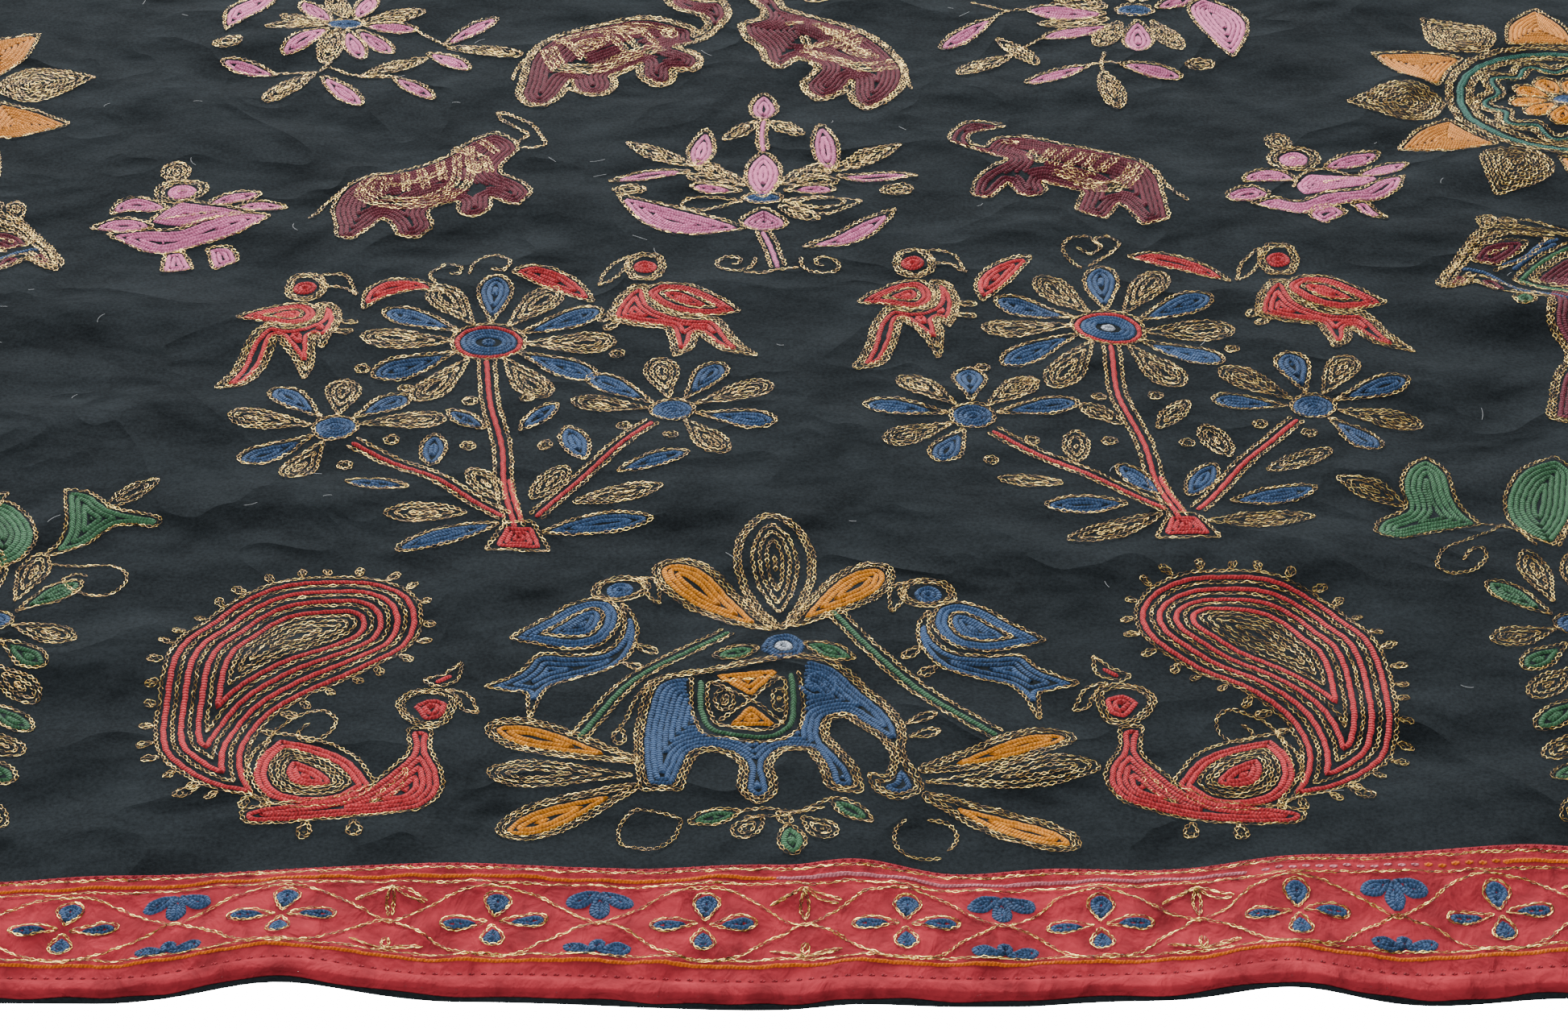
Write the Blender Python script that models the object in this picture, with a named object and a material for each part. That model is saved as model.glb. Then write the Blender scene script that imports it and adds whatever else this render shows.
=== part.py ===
"""An embroidered wall hanging laid out flat: a dark ground cloth with four red border strips sewn round it.

The cloth lies on a level surface with its softer folds left in. All lengths are in metres, +X runs
across the hanging, +Y from its bottom edge to its top edge, and +Z up from the surface it lies on.
The origin is the middle of its footprint, on that surface.
"""
import math
from collections import namedtuple

import bmesh
import bpy

# Driving dimensions
WIDTH = 1.36
LENGTH = 1.60
GROUND_THICKNESS = 0.0012
STRIP_THICKNESS = 0.0012
STRIP_WIDTH = 0.078
HEM_WIDTH = 0.012
HEM_THICKNESS = 0.0026
HEM_EDGE_THICKNESS = 0.0014
GROUND_LIP = 0.0015
SEAM_GAP = 0.0003

# How far in from each edge the unevenness of the sewn border dies away
DRIFT_REACH = 0.25

# Folds lower than this are pressed flat, so the cloth meets the surface over broad areas
PRESSED_FLAT = 0.0009

# Distances in from an edge of the cloth where its mesh has a line, first over the strip and then over
# the half width and the half length of the field
STRIP_LINES = (0.0, 0.005, HEM_WIDTH, 0.044, STRIP_WIDTH)
FIELD_LINES_ACROSS = (0.0, 0.05, 0.095, 0.13, 0.16, 0.19, 0.22, 0.25, 0.29, 0.335, 0.385, 0.435, 0.49, 0.545)
FIELD_LINES_ALONG = (0.0, 0.04, 0.08, 0.12, 0.165, 0.21, 0.25, 0.29, 0.33, 0.37, 0.41, 0.45,
                     0.485, 0.52, 0.555, 0.59, 0.625, 0.66, 0.692)

# One row for each fold of the lower half, in millimetres and degrees. The folds of the upper half are
# the same ones turned half round. A fold is a soft ridge: across and from_edge give its middle, turn
# is the way that its crest runs, 0 being level across the hanging.
Fold = namedtuple("Fold", "across from_edge length width turn height")
FOLDS = (
    Fold(-190, -6, 150, 80, 90, 12.5),
    Fold(192, -6, 140, 66, 90, 11.0),
    Fold(300, 10, 120, 70, 80, 4.5),
    Fold(126, 4, 90, 60, 100, 3.0),
    Fold(-20, 84, 80, 44, 35, 2.6),
    Fold(-430, 8, 130, 90, 95, 6.0),
    Fold(505, 6, 120, 84, 85, 5.0),
    Fold(-256, 104, 210, 56, 12, 4.6),
    Fold(-140, 92, 100, 44, -12, 3.2),
    Fold(290, 122, 200, 56, 12, 4.8),
    Fold(-172, 164, 90, 40, -24, 3.2),
    Fold(-300, 222, 190, 60, -8, 5.4),
    Fold(300, 226, 130, 62, 4, 4.4),
    Fold(-118, 286, 130, 46, -24, 3.4),
    Fold(114, 296, 170, 44, 0, 4.6),
    Fold(240, 300, 170, 44, 6, 3.6),
    Fold(-36, 332, 110, 48, -30, 3.6),
    Fold(66, 350, 260, 54, -14, 5.0),
    Fold(-240, 342, 260, 72, -6, 3.6),
    Fold(-322, 402, 260, 58, 5, 5.4),
    Fold(16, 408, 150, 42, -10, 3.2),
    Fold(440, 380, 150, 60, 30, 4.0),
    Fold(332, 452, 180, 44, -4, 3.6),
    Fold(-340, 505, 260, 62, -10, 5.8),
    Fold(352, 514, 190, 44, -14, 4.6),
    Fold(302, 584, 160, 44, 5, 4.6),
    Fold(342, 644, 190, 48, 15, 4.8),
    Fold(-112, 622, 130, 56, -34, 3.8),
    Fold(-500, 610, 190, 60, 20, 4.4),
    Fold(-640, 300, 190, 70, -10, 6.0),
    Fold(-660, 560, 150, 64, 14, 4.6),
    Fold(650, 210, 180, 66, 8, 5.4),
    Fold(670, 470, 160, 70, -12, 6.4),
    Fold(560, 700, 210, 64, 22, 4.6),
    Fold(-282, 692, 260, 58, -40, 4.6),
    Fold(300, 778, 170, 52, -30, 4.4),
)

# How the border's bottom edge and its inner seam wander, at places across the hanging. The other
# three sides take the same unevenness in turn.
Drift = namedtuple("Drift", "along edge_inset strip_width")
DRIFTS = (
    Drift(-0.68, 0.0, 0.078),
    Drift(-0.48, 0.004, 0.071),
    Drift(-0.30, 0.0045, 0.071),
    Drift(-0.21, 0.003, 0.075),
    Drift(-0.12, 0.005, 0.080),
    Drift(0.00, 0.0005, 0.080),
    Drift(0.03, 0.003, 0.084),
    Drift(0.07, 0.002, 0.078),
    Drift(0.16, 0.003, 0.079),
    Drift(0.22, 0.002, 0.087),
    Drift(0.30, 0.003, 0.092),
    Drift(0.46, 0.004, 0.084),
    Drift(0.68, 0.0, 0.078),
)

GROUND_RED_GREEN_BLUE = (0.019, 0.027, 0.032)
BORDER_RED_GREEN_BLUE = (0.445, 0.042, 0.058)


def clear_scene():
    """Empties the scene of whatever it opened with."""
    for thing in list(bpy.data.objects):
        bpy.data.objects.remove(thing, do_unlink=True)


def cloth_material(name, colour, roughness):
    """Makes a plain woven cloth material."""
    material = bpy.data.materials.new(name)
    material.use_nodes = True
    shader = material.node_tree.nodes["Principled BSDF"]
    shader.inputs["Base Color"].default_value = (*colour, 1.0)
    shader.inputs["Roughness"].default_value = roughness
    shader.inputs["Metallic"].default_value = 0.0
    return material


def drift_at(along):
    """Gives the edge inset and the strip width at a place along a side, eased between the rows."""
    along = min(max(along, DRIFTS[0].along), DRIFTS[-1].along)
    for before, after in zip(DRIFTS, DRIFTS[1:]):
        if along <= after.along:
            share = (along - before.along) / (after.along - before.along)
            ease = share * share * (3.0 - 2.0 * share)
            inset = before.edge_inset + ease * (after.edge_inset - before.edge_inset)
            width = before.strip_width + ease * (after.strip_width - before.strip_width)
            return inset, width
    return DRIFTS[-1].edge_inset, DRIFTS[-1].strip_width


def drifted(distance, along):
    """Turns a distance in from an even edge into the distance in on the uneven one."""
    inset, width = drift_at(along)
    if distance < STRIP_WIDTH:
        return inset + distance * (width - inset) / STRIP_WIDTH
    if distance < DRIFT_REACH:
        return distance + (width - STRIP_WIDTH) * (DRIFT_REACH - distance) / (DRIFT_REACH - STRIP_WIDTH)
    return distance


def place(u, v):
    """Gives where a point of the even, flat cloth lies on the surface."""
    side = math.copysign(1.0, u)
    end = math.copysign(1.0, v)
    x = side * (WIDTH / 2 - drifted(WIDTH / 2 - abs(u), side * v * WIDTH / LENGTH))
    y = end * (LENGTH / 2 - drifted(LENGTH / 2 - abs(v), -end * u))
    return x, y


def lift(x, y):
    """Gives how high the folds hold the underside of the cloth above the surface."""
    height = 0.0
    for fold in FOLDS:
        for half in (1.0, -1.0):
            across = x - half * fold.across * 0.001
            along = y + half * (LENGTH / 2 - fold.from_edge * 0.001)
            turn = math.radians(fold.turn)
            down = (across * math.cos(turn) + along * math.sin(turn)) / (fold.length * 0.0005)
            over = (along * math.cos(turn) - across * math.sin(turn)) / (fold.width * 0.0005)
            height += fold.height * 0.001 * math.exp(-down * down - over * over)
    return max(0.0, height - PRESSED_FLAT)


def ground_thickness(u, v):
    """Gives the ground cloth's thickness, the same all over."""
    return GROUND_THICKNESS


def strip_thickness(u, v):
    """Gives a border strip's thickness, which is fuller where its outer edge is rolled into a hem."""
    edge = min(WIDTH / 2 - abs(u), LENGTH / 2 - abs(v))
    if edge < STRIP_LINES[1]:
        return HEM_EDGE_THICKNESS + (HEM_THICKNESS - HEM_EDGE_THICKNESS) * edge / STRIP_LINES[1]
    if edge < HEM_WIDTH:
        return HEM_THICKNESS
    return STRIP_THICKNESS


def mirrored_lines(field_lines, half):
    """Lists every mesh line from one edge of the cloth to the other."""
    inner = [line for line in field_lines if line > 0.0]
    edges = [half - line for line in reversed(STRIP_LINES)]
    positive = inner + edges
    return [-line for line in reversed(positive)] + [0.0] + positive


def sheet(name, columns, rows, base, thickness, material, lip):
    """Makes one sheet of cloth over the lines given, base above the folds and lip in from the edge."""
    bm = bmesh.new()
    across = len(columns) - 1
    along = len(rows) - 1
    bmesh.ops.create_grid(bm, x_segments=across, y_segments=along, size=0.5)
    line_u = bm.verts.layers.float.new("line_u")
    line_v = bm.verts.layers.float.new("line_v")
    for vert in bm.verts:
        u = columns[round((vert.co.x + 0.5) * across)]
        v = rows[round((vert.co.y + 0.5) * along)]
        vert[line_u] = u
        vert[line_v] = v
        x, y = place(u, v)
        if abs(u) > WIDTH / 2 - lip:
            x -= math.copysign(lip, u)
        if abs(v) > LENGTH / 2 - lip:
            y -= math.copysign(lip, v)
        vert.co = (x, y, base + lift(x, y))
    bmesh.ops.triangulate(bm, faces=bm.faces[:], quad_method="FIXED")
    raised = bmesh.ops.extrude_face_region(bm, geom=bm.faces[:])["geom"]
    for vert in raised:
        if isinstance(vert, bmesh.types.BMVert):
            vert.co.z += thickness(vert[line_u], vert[line_v])
    bmesh.ops.triangulate(bm, faces=bm.faces[:], quad_method="FIXED")
    bmesh.ops.recalc_face_normals(bm, faces=bm.faces[:])
    mesh = bpy.data.meshes.new(name)
    bm.to_mesh(mesh)
    bm.free()
    mesh.materials.append(material)
    mesh.shade_smooth()
    piece = bpy.data.objects.new(name, mesh)
    bpy.context.scene.collection.objects.link(piece)
    return piece


def main():
    """Builds the ground cloth and the four strips of its border."""
    clear_scene()
    dark_cloth = cloth_material("dark_ground_cloth", GROUND_RED_GREEN_BLUE, 0.92)
    red_cloth = cloth_material("red_border_cloth", BORDER_RED_GREEN_BLUE, 0.85)
    columns = mirrored_lines(FIELD_LINES_ACROSS, WIDTH / 2)
    rows = mirrored_lines(FIELD_LINES_ALONG, LENGTH / 2)
    edge = len(STRIP_LINES)
    on_ground = GROUND_THICKNESS + SEAM_GAP
    side_rows = rows[edge - 1:len(rows) - edge + 1]
    side_rows[0] += SEAM_GAP
    side_rows[-1] -= SEAM_GAP
    sheet("ground_cloth", columns, rows, 0.0, ground_thickness, dark_cloth, 0.0)
    strips = (
        ("border_bottom", columns, rows[:edge]),
        ("border_top", columns, rows[-edge:]),
        ("border_left", columns[:edge], side_rows),
        ("border_right", columns[-edge:], side_rows),
    )
    for name, strip_columns, strip_rows in strips:
        sheet(name, strip_columns, strip_rows, on_ground, strip_thickness, red_cloth, GROUND_LIP)


main()
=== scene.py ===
"""Dresses the embroidered wall hanging: dark wool, a red sewn border, and motifs worked in chain stitch.

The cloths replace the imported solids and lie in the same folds. Every line of thread is laid on the cloth
under it. Patterns are drawn in millimetres: across from the middle, and up from the bottom edge.
"""
import math
from collections import namedtuple

import bmesh
import bpy
import numpy as np
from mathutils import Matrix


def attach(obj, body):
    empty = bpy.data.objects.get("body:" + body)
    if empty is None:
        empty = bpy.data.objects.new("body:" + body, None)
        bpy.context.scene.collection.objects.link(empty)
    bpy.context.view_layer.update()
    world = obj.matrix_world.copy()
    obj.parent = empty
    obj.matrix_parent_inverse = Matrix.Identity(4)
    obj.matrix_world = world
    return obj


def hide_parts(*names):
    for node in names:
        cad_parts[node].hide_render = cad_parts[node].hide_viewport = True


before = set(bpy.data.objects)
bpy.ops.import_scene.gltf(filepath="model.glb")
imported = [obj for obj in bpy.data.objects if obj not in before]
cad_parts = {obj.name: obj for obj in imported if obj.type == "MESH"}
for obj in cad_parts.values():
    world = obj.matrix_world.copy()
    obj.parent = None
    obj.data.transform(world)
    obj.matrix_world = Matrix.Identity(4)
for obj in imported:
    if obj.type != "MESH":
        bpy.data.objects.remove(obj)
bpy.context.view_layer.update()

bl_info = {
    "name": "Embroidered wall hanging",
    "version": (1, 0, 0),
    "blender": (4, 5, 0),
    "location": "View3D > Sidebar > Hanging",
    "description": "Lays out a dark wall hanging with a red sewn border and chain-stitched motifs",
    "category": "Add Mesh",
}

MM = 0.001

# The cloth's own measures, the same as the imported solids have
WIDTH = 1.36
LENGTH = 1.60
GROUND_THICKNESS = 0.0012
STRIP_WIDTH = 0.078
HEM_WIDTH = 0.012
GROUND_LIP = 0.0015
SEAM_GAP = 0.0003
DRIFT_REACH = 0.25
PRESSED_FLAT = 0.0009

# Across, from the bottom edge, length, width and height in millimetres, and turn in degrees, of the
# folds of the lower half. The upper half has the same ones turned half round.
Fold = namedtuple("Fold", "across from_edge length width turn height")
FOLDS = [Fold(*row) for row in (
    (-190, -6, 150, 80, 90, 12.5), (192, -6, 140, 66, 90, 11.0), (300, 10, 120, 70, 80, 4.5),
    (126, 4, 90, 60, 100, 3.0), (-20, 84, 80, 44, 35, 2.6), (-430, 8, 130, 90, 95, 6.0),
    (505, 6, 120, 84, 85, 5.0), (-256, 104, 210, 56, 12, 4.6), (-140, 92, 100, 44, -12, 3.2),
    (290, 122, 200, 56, 12, 4.8), (-172, 164, 90, 40, -24, 3.2), (-300, 222, 190, 60, -8, 5.4),
    (300, 226, 130, 62, 4, 4.4), (-118, 286, 130, 46, -24, 3.4), (114, 296, 170, 44, 0, 4.6),
    (240, 300, 170, 44, 6, 3.6), (-36, 332, 110, 48, -30, 3.6), (66, 350, 260, 54, -14, 5.0),
    (-240, 342, 260, 72, -6, 3.6), (-322, 402, 260, 58, 5, 5.4), (16, 408, 150, 42, -10, 3.2),
    (440, 380, 150, 60, 30, 4.0), (332, 452, 180, 44, -4, 3.6), (-340, 505, 260, 62, -10, 5.8),
    (352, 514, 190, 44, -14, 4.6), (302, 584, 160, 44, 5, 4.6), (342, 644, 190, 48, 15, 4.8),
    (-112, 622, 130, 56, -34, 3.8), (-500, 610, 190, 60, 20, 4.4), (-640, 300, 190, 70, -10, 6.0),
    (-660, 560, 150, 64, 14, 4.6), (650, 210, 180, 66, 8, 5.4), (670, 470, 160, 70, -12, 6.4),
    (560, 700, 210, 64, 22, 4.6), (-282, 692, 260, 58, -40, 4.6), (300, 778, 170, 52, -30, 4.4),
)]

# How the sewn border wanders: place along a side, inset of its edge, and width of the strip
DRIFTS = (
    (-0.68, 0.0, 0.078), (-0.48, 0.004, 0.071), (-0.30, 0.0045, 0.071), (-0.21, 0.003, 0.075),
    (-0.12, 0.005, 0.080), (0.00, 0.0005, 0.080), (0.03, 0.003, 0.084), (0.07, 0.002, 0.078),
    (0.16, 0.003, 0.079), (0.22, 0.002, 0.087), (0.30, 0.003, 0.092), (0.46, 0.004, 0.084),
    (0.68, 0.0, 0.078),
)

# Soft wrinkles that lie between the folds: length of wave in metres, direction in degrees, height in mm
RIPPLES = (
    (0.118, 79, 1.15), (0.089, 106, 1.0), (0.066, 66, 0.75), (0.054, 121, 0.60),
    (0.045, 92, 0.40), (0.097, 28, 0.55), (0.071, 153, 0.45),
)

# Share of the wrinkles' height that is left at the cloth's outer edge
CALM_AT_EDGE = 0.2

# How a strip's top stands above the ground cloth, in millimetres, at distances in from its outer edge:
# the rolled hem, the flat strip, and the fold along its inner edge
STRIP_PROFILE = (
    (0.0, 0.5), (0.7, 1.5), (2.0, 2.3), (4.5, 2.7), (7.5, 2.65), (10.0, 2.2), (11.8, 1.25), (13.0, 1.05),
    (15.5, 1.2), (71.0, 1.2), (73.0, 1.15), (75.0, 1.5), (77.0, 1.4), (77.8, 0.9), (78.0, 0.4),
)

Line = namedtuple("Line", "thread points closed")

# Sewing thread is thinner than the floss, and so are the couched yarns
SLIM_YARNS = {"red": 0.55, "lilac": 0.8, "tangerine": 0.85}

# How far apart the rows of a filled shape lie, and how far the first floss row is from the gold round it
GOLD_PITCH = 2.3
FLOSS_PITCH = 2.65
FLOSS_START = 2.7

# How far a hand strays from the drawn line, in metres
GOLD_SWAY = 0.00018
FLOSS_SWAY = 0.00012

# Loose fibres: half of the field they lie on, their lengths, half their width and how high they lie
LINT_FIELD = (0.56, 0.70)
LINT_LENGTHS = (0.0025, 0.011)
LINT_HALF_WIDTH = 0.00011
LINT_RISE = 0.0004

# Spacing of the mesh: rows of the ground cloth as shares of its cell, closer up to this far along it, and
# cells of the strip that the camera is near and of the others
NEAR_ROWS = 0.9
FAR_ROWS = 1.7
NEAR_ROWS_END = 0.10
NEAR_STRIP_CELL = 0.0040
STRIP_CELL = 0.0075

# The floor's half size and how far it lies under the cloth, so that the two don't share a plane
FLOOR_REACH = 6.0
FLOOR_DROP = 0.0004

# Strength of the even white light from all round
AIR_LIGHT = 0.47

# Name, place, size in metres and power in watts of each softbox, and the point they face
SOFTBOXES = (
    ("back_softbox", (-0.6, 3.8, 2.05), (3.4, 1.4), 480.0),
    ("front_softbox", (-0.8, -2.4, 2.6), (2.4, 1.6), 42.0),
)
LIT_POINT = (0.0, -0.3, 0.0)

# How far right of the middle the camera stands
CAMERA_ACROSS = 0.001


def linear(hex_colour):
    """Turns an sRGB hex value into the linear colour that Blender works in."""
    levels = [int(hex_colour[place:place + 2], 16) / 255.0 for place in (1, 3, 5)]
    return tuple(v / 12.92 if v <= 0.04045 else ((v + 0.055) / 1.055) ** 2.4 for v in levels)


# Sizes and colours that a user would change


def measure(name, description, default):
    """Makes a setting for a length."""
    return bpy.props.FloatProperty(name=name, description=description, default=default, unit="LENGTH")


def colour(name, description, hex_colour):
    """Makes a setting for a colour, its default given as an sRGB hex value."""
    return bpy.props.FloatVectorProperty(
        name=name, description=description, subtype="COLOR", default=linear(hex_colour))


class HangingCloth(bpy.types.PropertyGroup):
    """Sizes and colours of the ground cloth and the border."""

    cell: measure("Mesh cell", "Spacing of the ground cloth's mesh", 0.0068)
    ripple: bpy.props.FloatProperty(
        name="Ripple", description="How strongly the cloth is wrinkled between its folds", default=1.0)
    ground_colour: colour("Ground", "Dark blue-green wool", "#24292C")
    border_colour: colour("Border", "Red cotton", "#AB333D")


class HangingThread(bpy.types.PropertyGroup):
    """Sizes and colours of the threads."""

    link_length: measure("Gold link", "Length of one gold chain stitch", 0.0031)
    link_width: measure("Gold link width", "Width of one gold chain stitch", 0.0021)
    gold_thickness: measure("Gold thread", "Thickness of the gold thread", 0.00031)
    floss_width: measure("Floss row", "Width of a row of coloured chain", 0.00245)
    floss_height: measure("Floss height", "Height of a row of coloured chain", 0.0010)
    floss_step: measure("Floss step", "Spacing of the mesh along a coloured row", 0.0014)
    gold: colour("Gold", "Metal-wrapped thread", "#E8A22F")
    blue: colour("Blue", "Blue floss", "#3A5479")
    orange: colour("Orange", "Orange floss", "#FFA22A")
    green: colour("Green", "Green floss", "#406A4B")
    pink: colour("Pink", "Pink floss", "#F288B8")
    maroon: colour("Maroon", "Maroon floss", "#642633")
    coral: colour("Coral", "Coral red floss", "#C2383E")
    lilac: colour("Lilac", "Pale pink couched yarn", "#F0909C")
    tangerine: colour("Tangerine", "Orange couched yarn", "#FF7C22")
    peach: colour("Peach", "Pale orange floss", "#FFA648")
    teal: colour("Teal", "Blue-green floss", "#3C6E61")
    pale: colour("Pale", "Pale blue floss in the flower's eye", "#D8E2F0")
    red: colour("Red", "Sewing thread of the border", "#A8323D")


FLOSSES = ("blue", "orange", "green", "pink", "maroon", "coral", "lilac", "tangerine",
           "peach", "teal", "pale", "red")


class HangingStage(bpy.types.PropertyGroup):
    """Floor, light and camera."""

    lens: bpy.props.FloatProperty(name="Lens", description="Focal length in millimetres", default=81.8)
    pitch: bpy.props.FloatProperty(
        name="Pitch", description="How far the camera looks down", subtype="ANGLE",
        default=math.radians(33.72))
    height: measure("Camera height", "Above the floor", 0.898)
    back: measure("Camera distance", "Out from the bottom edge", 1.009)
    floor_colour: colour("Floor", "Pale floor", "#F4F4F4")
    floor_glow: bpy.props.FloatProperty(
        name="Floor light", description="Light of the paper, which is lit from below", default=24.0)


# How the cloth lies


def drift_at(along):
    """Gives the edge inset and the strip width at places along a side, eased between the rows."""
    rows = np.array(DRIFTS)
    along = np.clip(along, rows[0, 0], rows[-1, 0])
    index = np.clip(np.searchsorted(rows[:, 0], along, side="left") - 1, 0, len(rows) - 2)
    before = rows[index]
    after = rows[index + 1]
    share = (along - before[..., 0]) / (after[..., 0] - before[..., 0])
    ease = share * share * (3.0 - 2.0 * share)
    inset_here = before[..., 1] + ease * (after[..., 1] - before[..., 1])
    width_here = before[..., 2] + ease * (after[..., 2] - before[..., 2])
    return inset_here, width_here


def drifted(distance, along):
    """Turns distances in from an even edge into distances in on the uneven one."""
    inset_here, width_here = drift_at(along)
    on_strip = inset_here + distance * (width_here - inset_here) / STRIP_WIDTH
    dying = (DRIFT_REACH - distance) / (DRIFT_REACH - STRIP_WIDTH)
    near_strip = distance + (width_here - STRIP_WIDTH) * dying
    return np.where(distance < STRIP_WIDTH, on_strip, np.where(distance < DRIFT_REACH, near_strip, distance))


def place(u, v):
    """Gives where points of the even, flat cloth lie on the surface."""
    side = np.where(u < 0.0, -1.0, 1.0)
    end = np.where(v < 0.0, -1.0, 1.0)
    x = side * (WIDTH / 2 - drifted(WIDTH / 2 - np.abs(u), side * v * WIDTH / LENGTH))
    y = end * (LENGTH / 2 - drifted(LENGTH / 2 - np.abs(v), -end * u))
    return x, y


def lift(x, y):
    """Gives how high the folds and the wrinkles between them hold the underside of the cloth."""
    height = np.zeros(np.shape(x))
    for fold in FOLDS:
        turn = math.radians(fold.turn)
        for half in (1.0, -1.0):
            across = x - half * fold.across * MM
            along = y + half * (LENGTH / 2 - fold.from_edge * MM)
            down = (across * math.cos(turn) + along * math.sin(turn)) / (fold.length * MM / 2)
            over = (along * math.cos(turn) - across * math.sin(turn)) / (fold.width * MM / 2)
            height += fold.height * MM * np.exp(-down * down - over * over)
    return np.maximum(0.0, height - PRESSED_FLAT) + ripple(x, y)


def ripple(x, y):
    """Gives the height of the wrinkles that lie between the folds, never below the surface."""
    height = np.zeros(np.shape(x))
    most = 0.0
    for number, (wave, direction, tall) in enumerate(RIPPLES):
        turn = math.radians(direction)
        along = x * math.cos(turn) + y * math.sin(turn)
        beside_it = x * math.sin(turn) - y * math.cos(turn)
        sway = 0.32 * np.sin(beside_it * 25.0 + 1.7 * number) + 0.4 * np.sin(beside_it * 9.0 + along * 7.0)
        patches = 0.62 + 0.38 * np.sin(beside_it * 17.0 + 2.9 * number + 2.0 * np.sin(along * 11.0 + number))
        height += patches * tall * MM * np.sin(2.0 * math.pi * (along / wave + sway) + 2.3 * number)
        most += tall * MM
    edge = np.minimum(WIDTH / 2 - np.abs(x), LENGTH / 2 - np.abs(y))
    calm = np.clip(CALM_AT_EDGE + (1.0 - CALM_AT_EDGE) * edge / 0.09, CALM_AT_EDGE, 1.0)
    strength = bpy.context.scene.hanging_cloth.ripple
    return strength * calm * np.maximum(0.0, 0.4 * most + height)


def strip_top(distance):
    """Gives how high a strip's top stands above the ground cloth at distances in from its outer edge."""
    profile = np.array(STRIP_PROFILE) * MM
    return np.interp(distance, profile[:, 0], profile[:, 1])


def lay_on_field(points):
    """Puts pattern points, in metres about the middle, on top of the ground cloth."""
    x, y = points[..., 0], points[..., 1]
    return np.stack([x, y, lift(x, y) + GROUND_THICKNESS], axis=-1)


def pucker(u, v):
    """Gives how far the stitching draws the top of a strip up into small puckers."""
    edge = np.minimum(WIDTH / 2 - np.abs(u), LENGTH / 2 - np.abs(v)) / MM
    along = np.where(WIDTH / 2 - np.abs(u) < LENGTH / 2 - np.abs(v), v, u) / MM
    middle = np.clip((edge - 14.0) / 5.0, 0.0, 1.0) * np.clip((74.0 - edge) / 4.0, 0.0, 1.0)
    hem = np.clip(edge / 3.0, 0.0, 1.0) * np.clip((12.0 - edge) / 3.0, 0.0, 1.0)
    drawn = (np.sin(along / 3.9 + 1.4 * np.sin(edge / 9.0)) + np.sin(along / 6.1 - edge / 5.5)
             + np.sin(edge / 3.1 + 1.9 * np.sin(along / 13.0)))
    pulled = (np.sin(along / 6.3 + edge / 2.2 + 1.6 * np.sin(along / 31.0))
              + 0.7 * np.sin(along / 15.0 - edge / 3.0) + 0.4 * np.sin(along / 2.9 - edge / 2.0))
    return MM * (middle * np.maximum(0.0, 0.5 + 0.36 * drawn) + hem * np.maximum(0.0, 0.4 + 0.42 * pulled))


def lay_on_border(points):
    """Puts points of the even cloth on top of the border strips."""
    u, v = points[..., 0], points[..., 1]
    x, y = place(u, v)
    edge = np.minimum(WIDTH / 2 - np.abs(u), LENGTH / 2 - np.abs(v))
    top = GROUND_THICKNESS + SEAM_GAP + strip_top(edge) + pucker(u, v)
    return np.stack([x, y, lift(x, y) + top], axis=-1)


def uneven(along):
    """Gives how far the hem strays out or in along an edge."""
    place_mm = along / MM
    return 0.00045 * (np.sin(place_mm / 9.7) + np.sin(place_mm / 5.3 + 2.0 * np.sin(place_mm / 40.0)))


def lipped(u, v):
    """Gives where points of a strip lie, its outermost edge drawn in so that the ground peeks out."""
    x, y = place(u, v)
    x = np.where(np.abs(u) > WIDTH / 2 - GROUND_LIP / 2, x - np.sign(u) * GROUND_LIP, x)
    y = np.where(np.abs(v) > LENGTH / 2 - GROUND_LIP / 2, y - np.sign(v) * GROUND_LIP, y)
    at_end = np.clip(1.0 - (LENGTH / 2 - np.abs(v)) / HEM_WIDTH, 0.0, 1.0)
    at_side = np.clip(1.0 - (WIDTH / 2 - np.abs(u)) / HEM_WIDTH, 0.0, 1.0)
    y = y + at_end * uneven(u) * np.sign(v)
    x = x + at_side * uneven(v) * np.sign(u)
    return x, y


# Lines of a pattern, in millimetres


def even_line(points, spacing, closed):
    """Places points evenly along a line. A closed one doesn't repeat its first point."""
    loop = np.vstack([points, points[:1]]) if closed else np.asarray(points)
    steps = np.hypot(*np.diff(loop, axis=0).T)
    far = np.concatenate([[0.0], np.cumsum(steps)])
    count = max(3 if closed else 1, round(far[-1] / spacing))
    where = np.linspace(0.0, far[-1], count + 1)
    if closed:
        where = where[:-1]
    return np.column_stack([np.interp(where, far, loop[:, axis]) for axis in (0, 1)])


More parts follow.
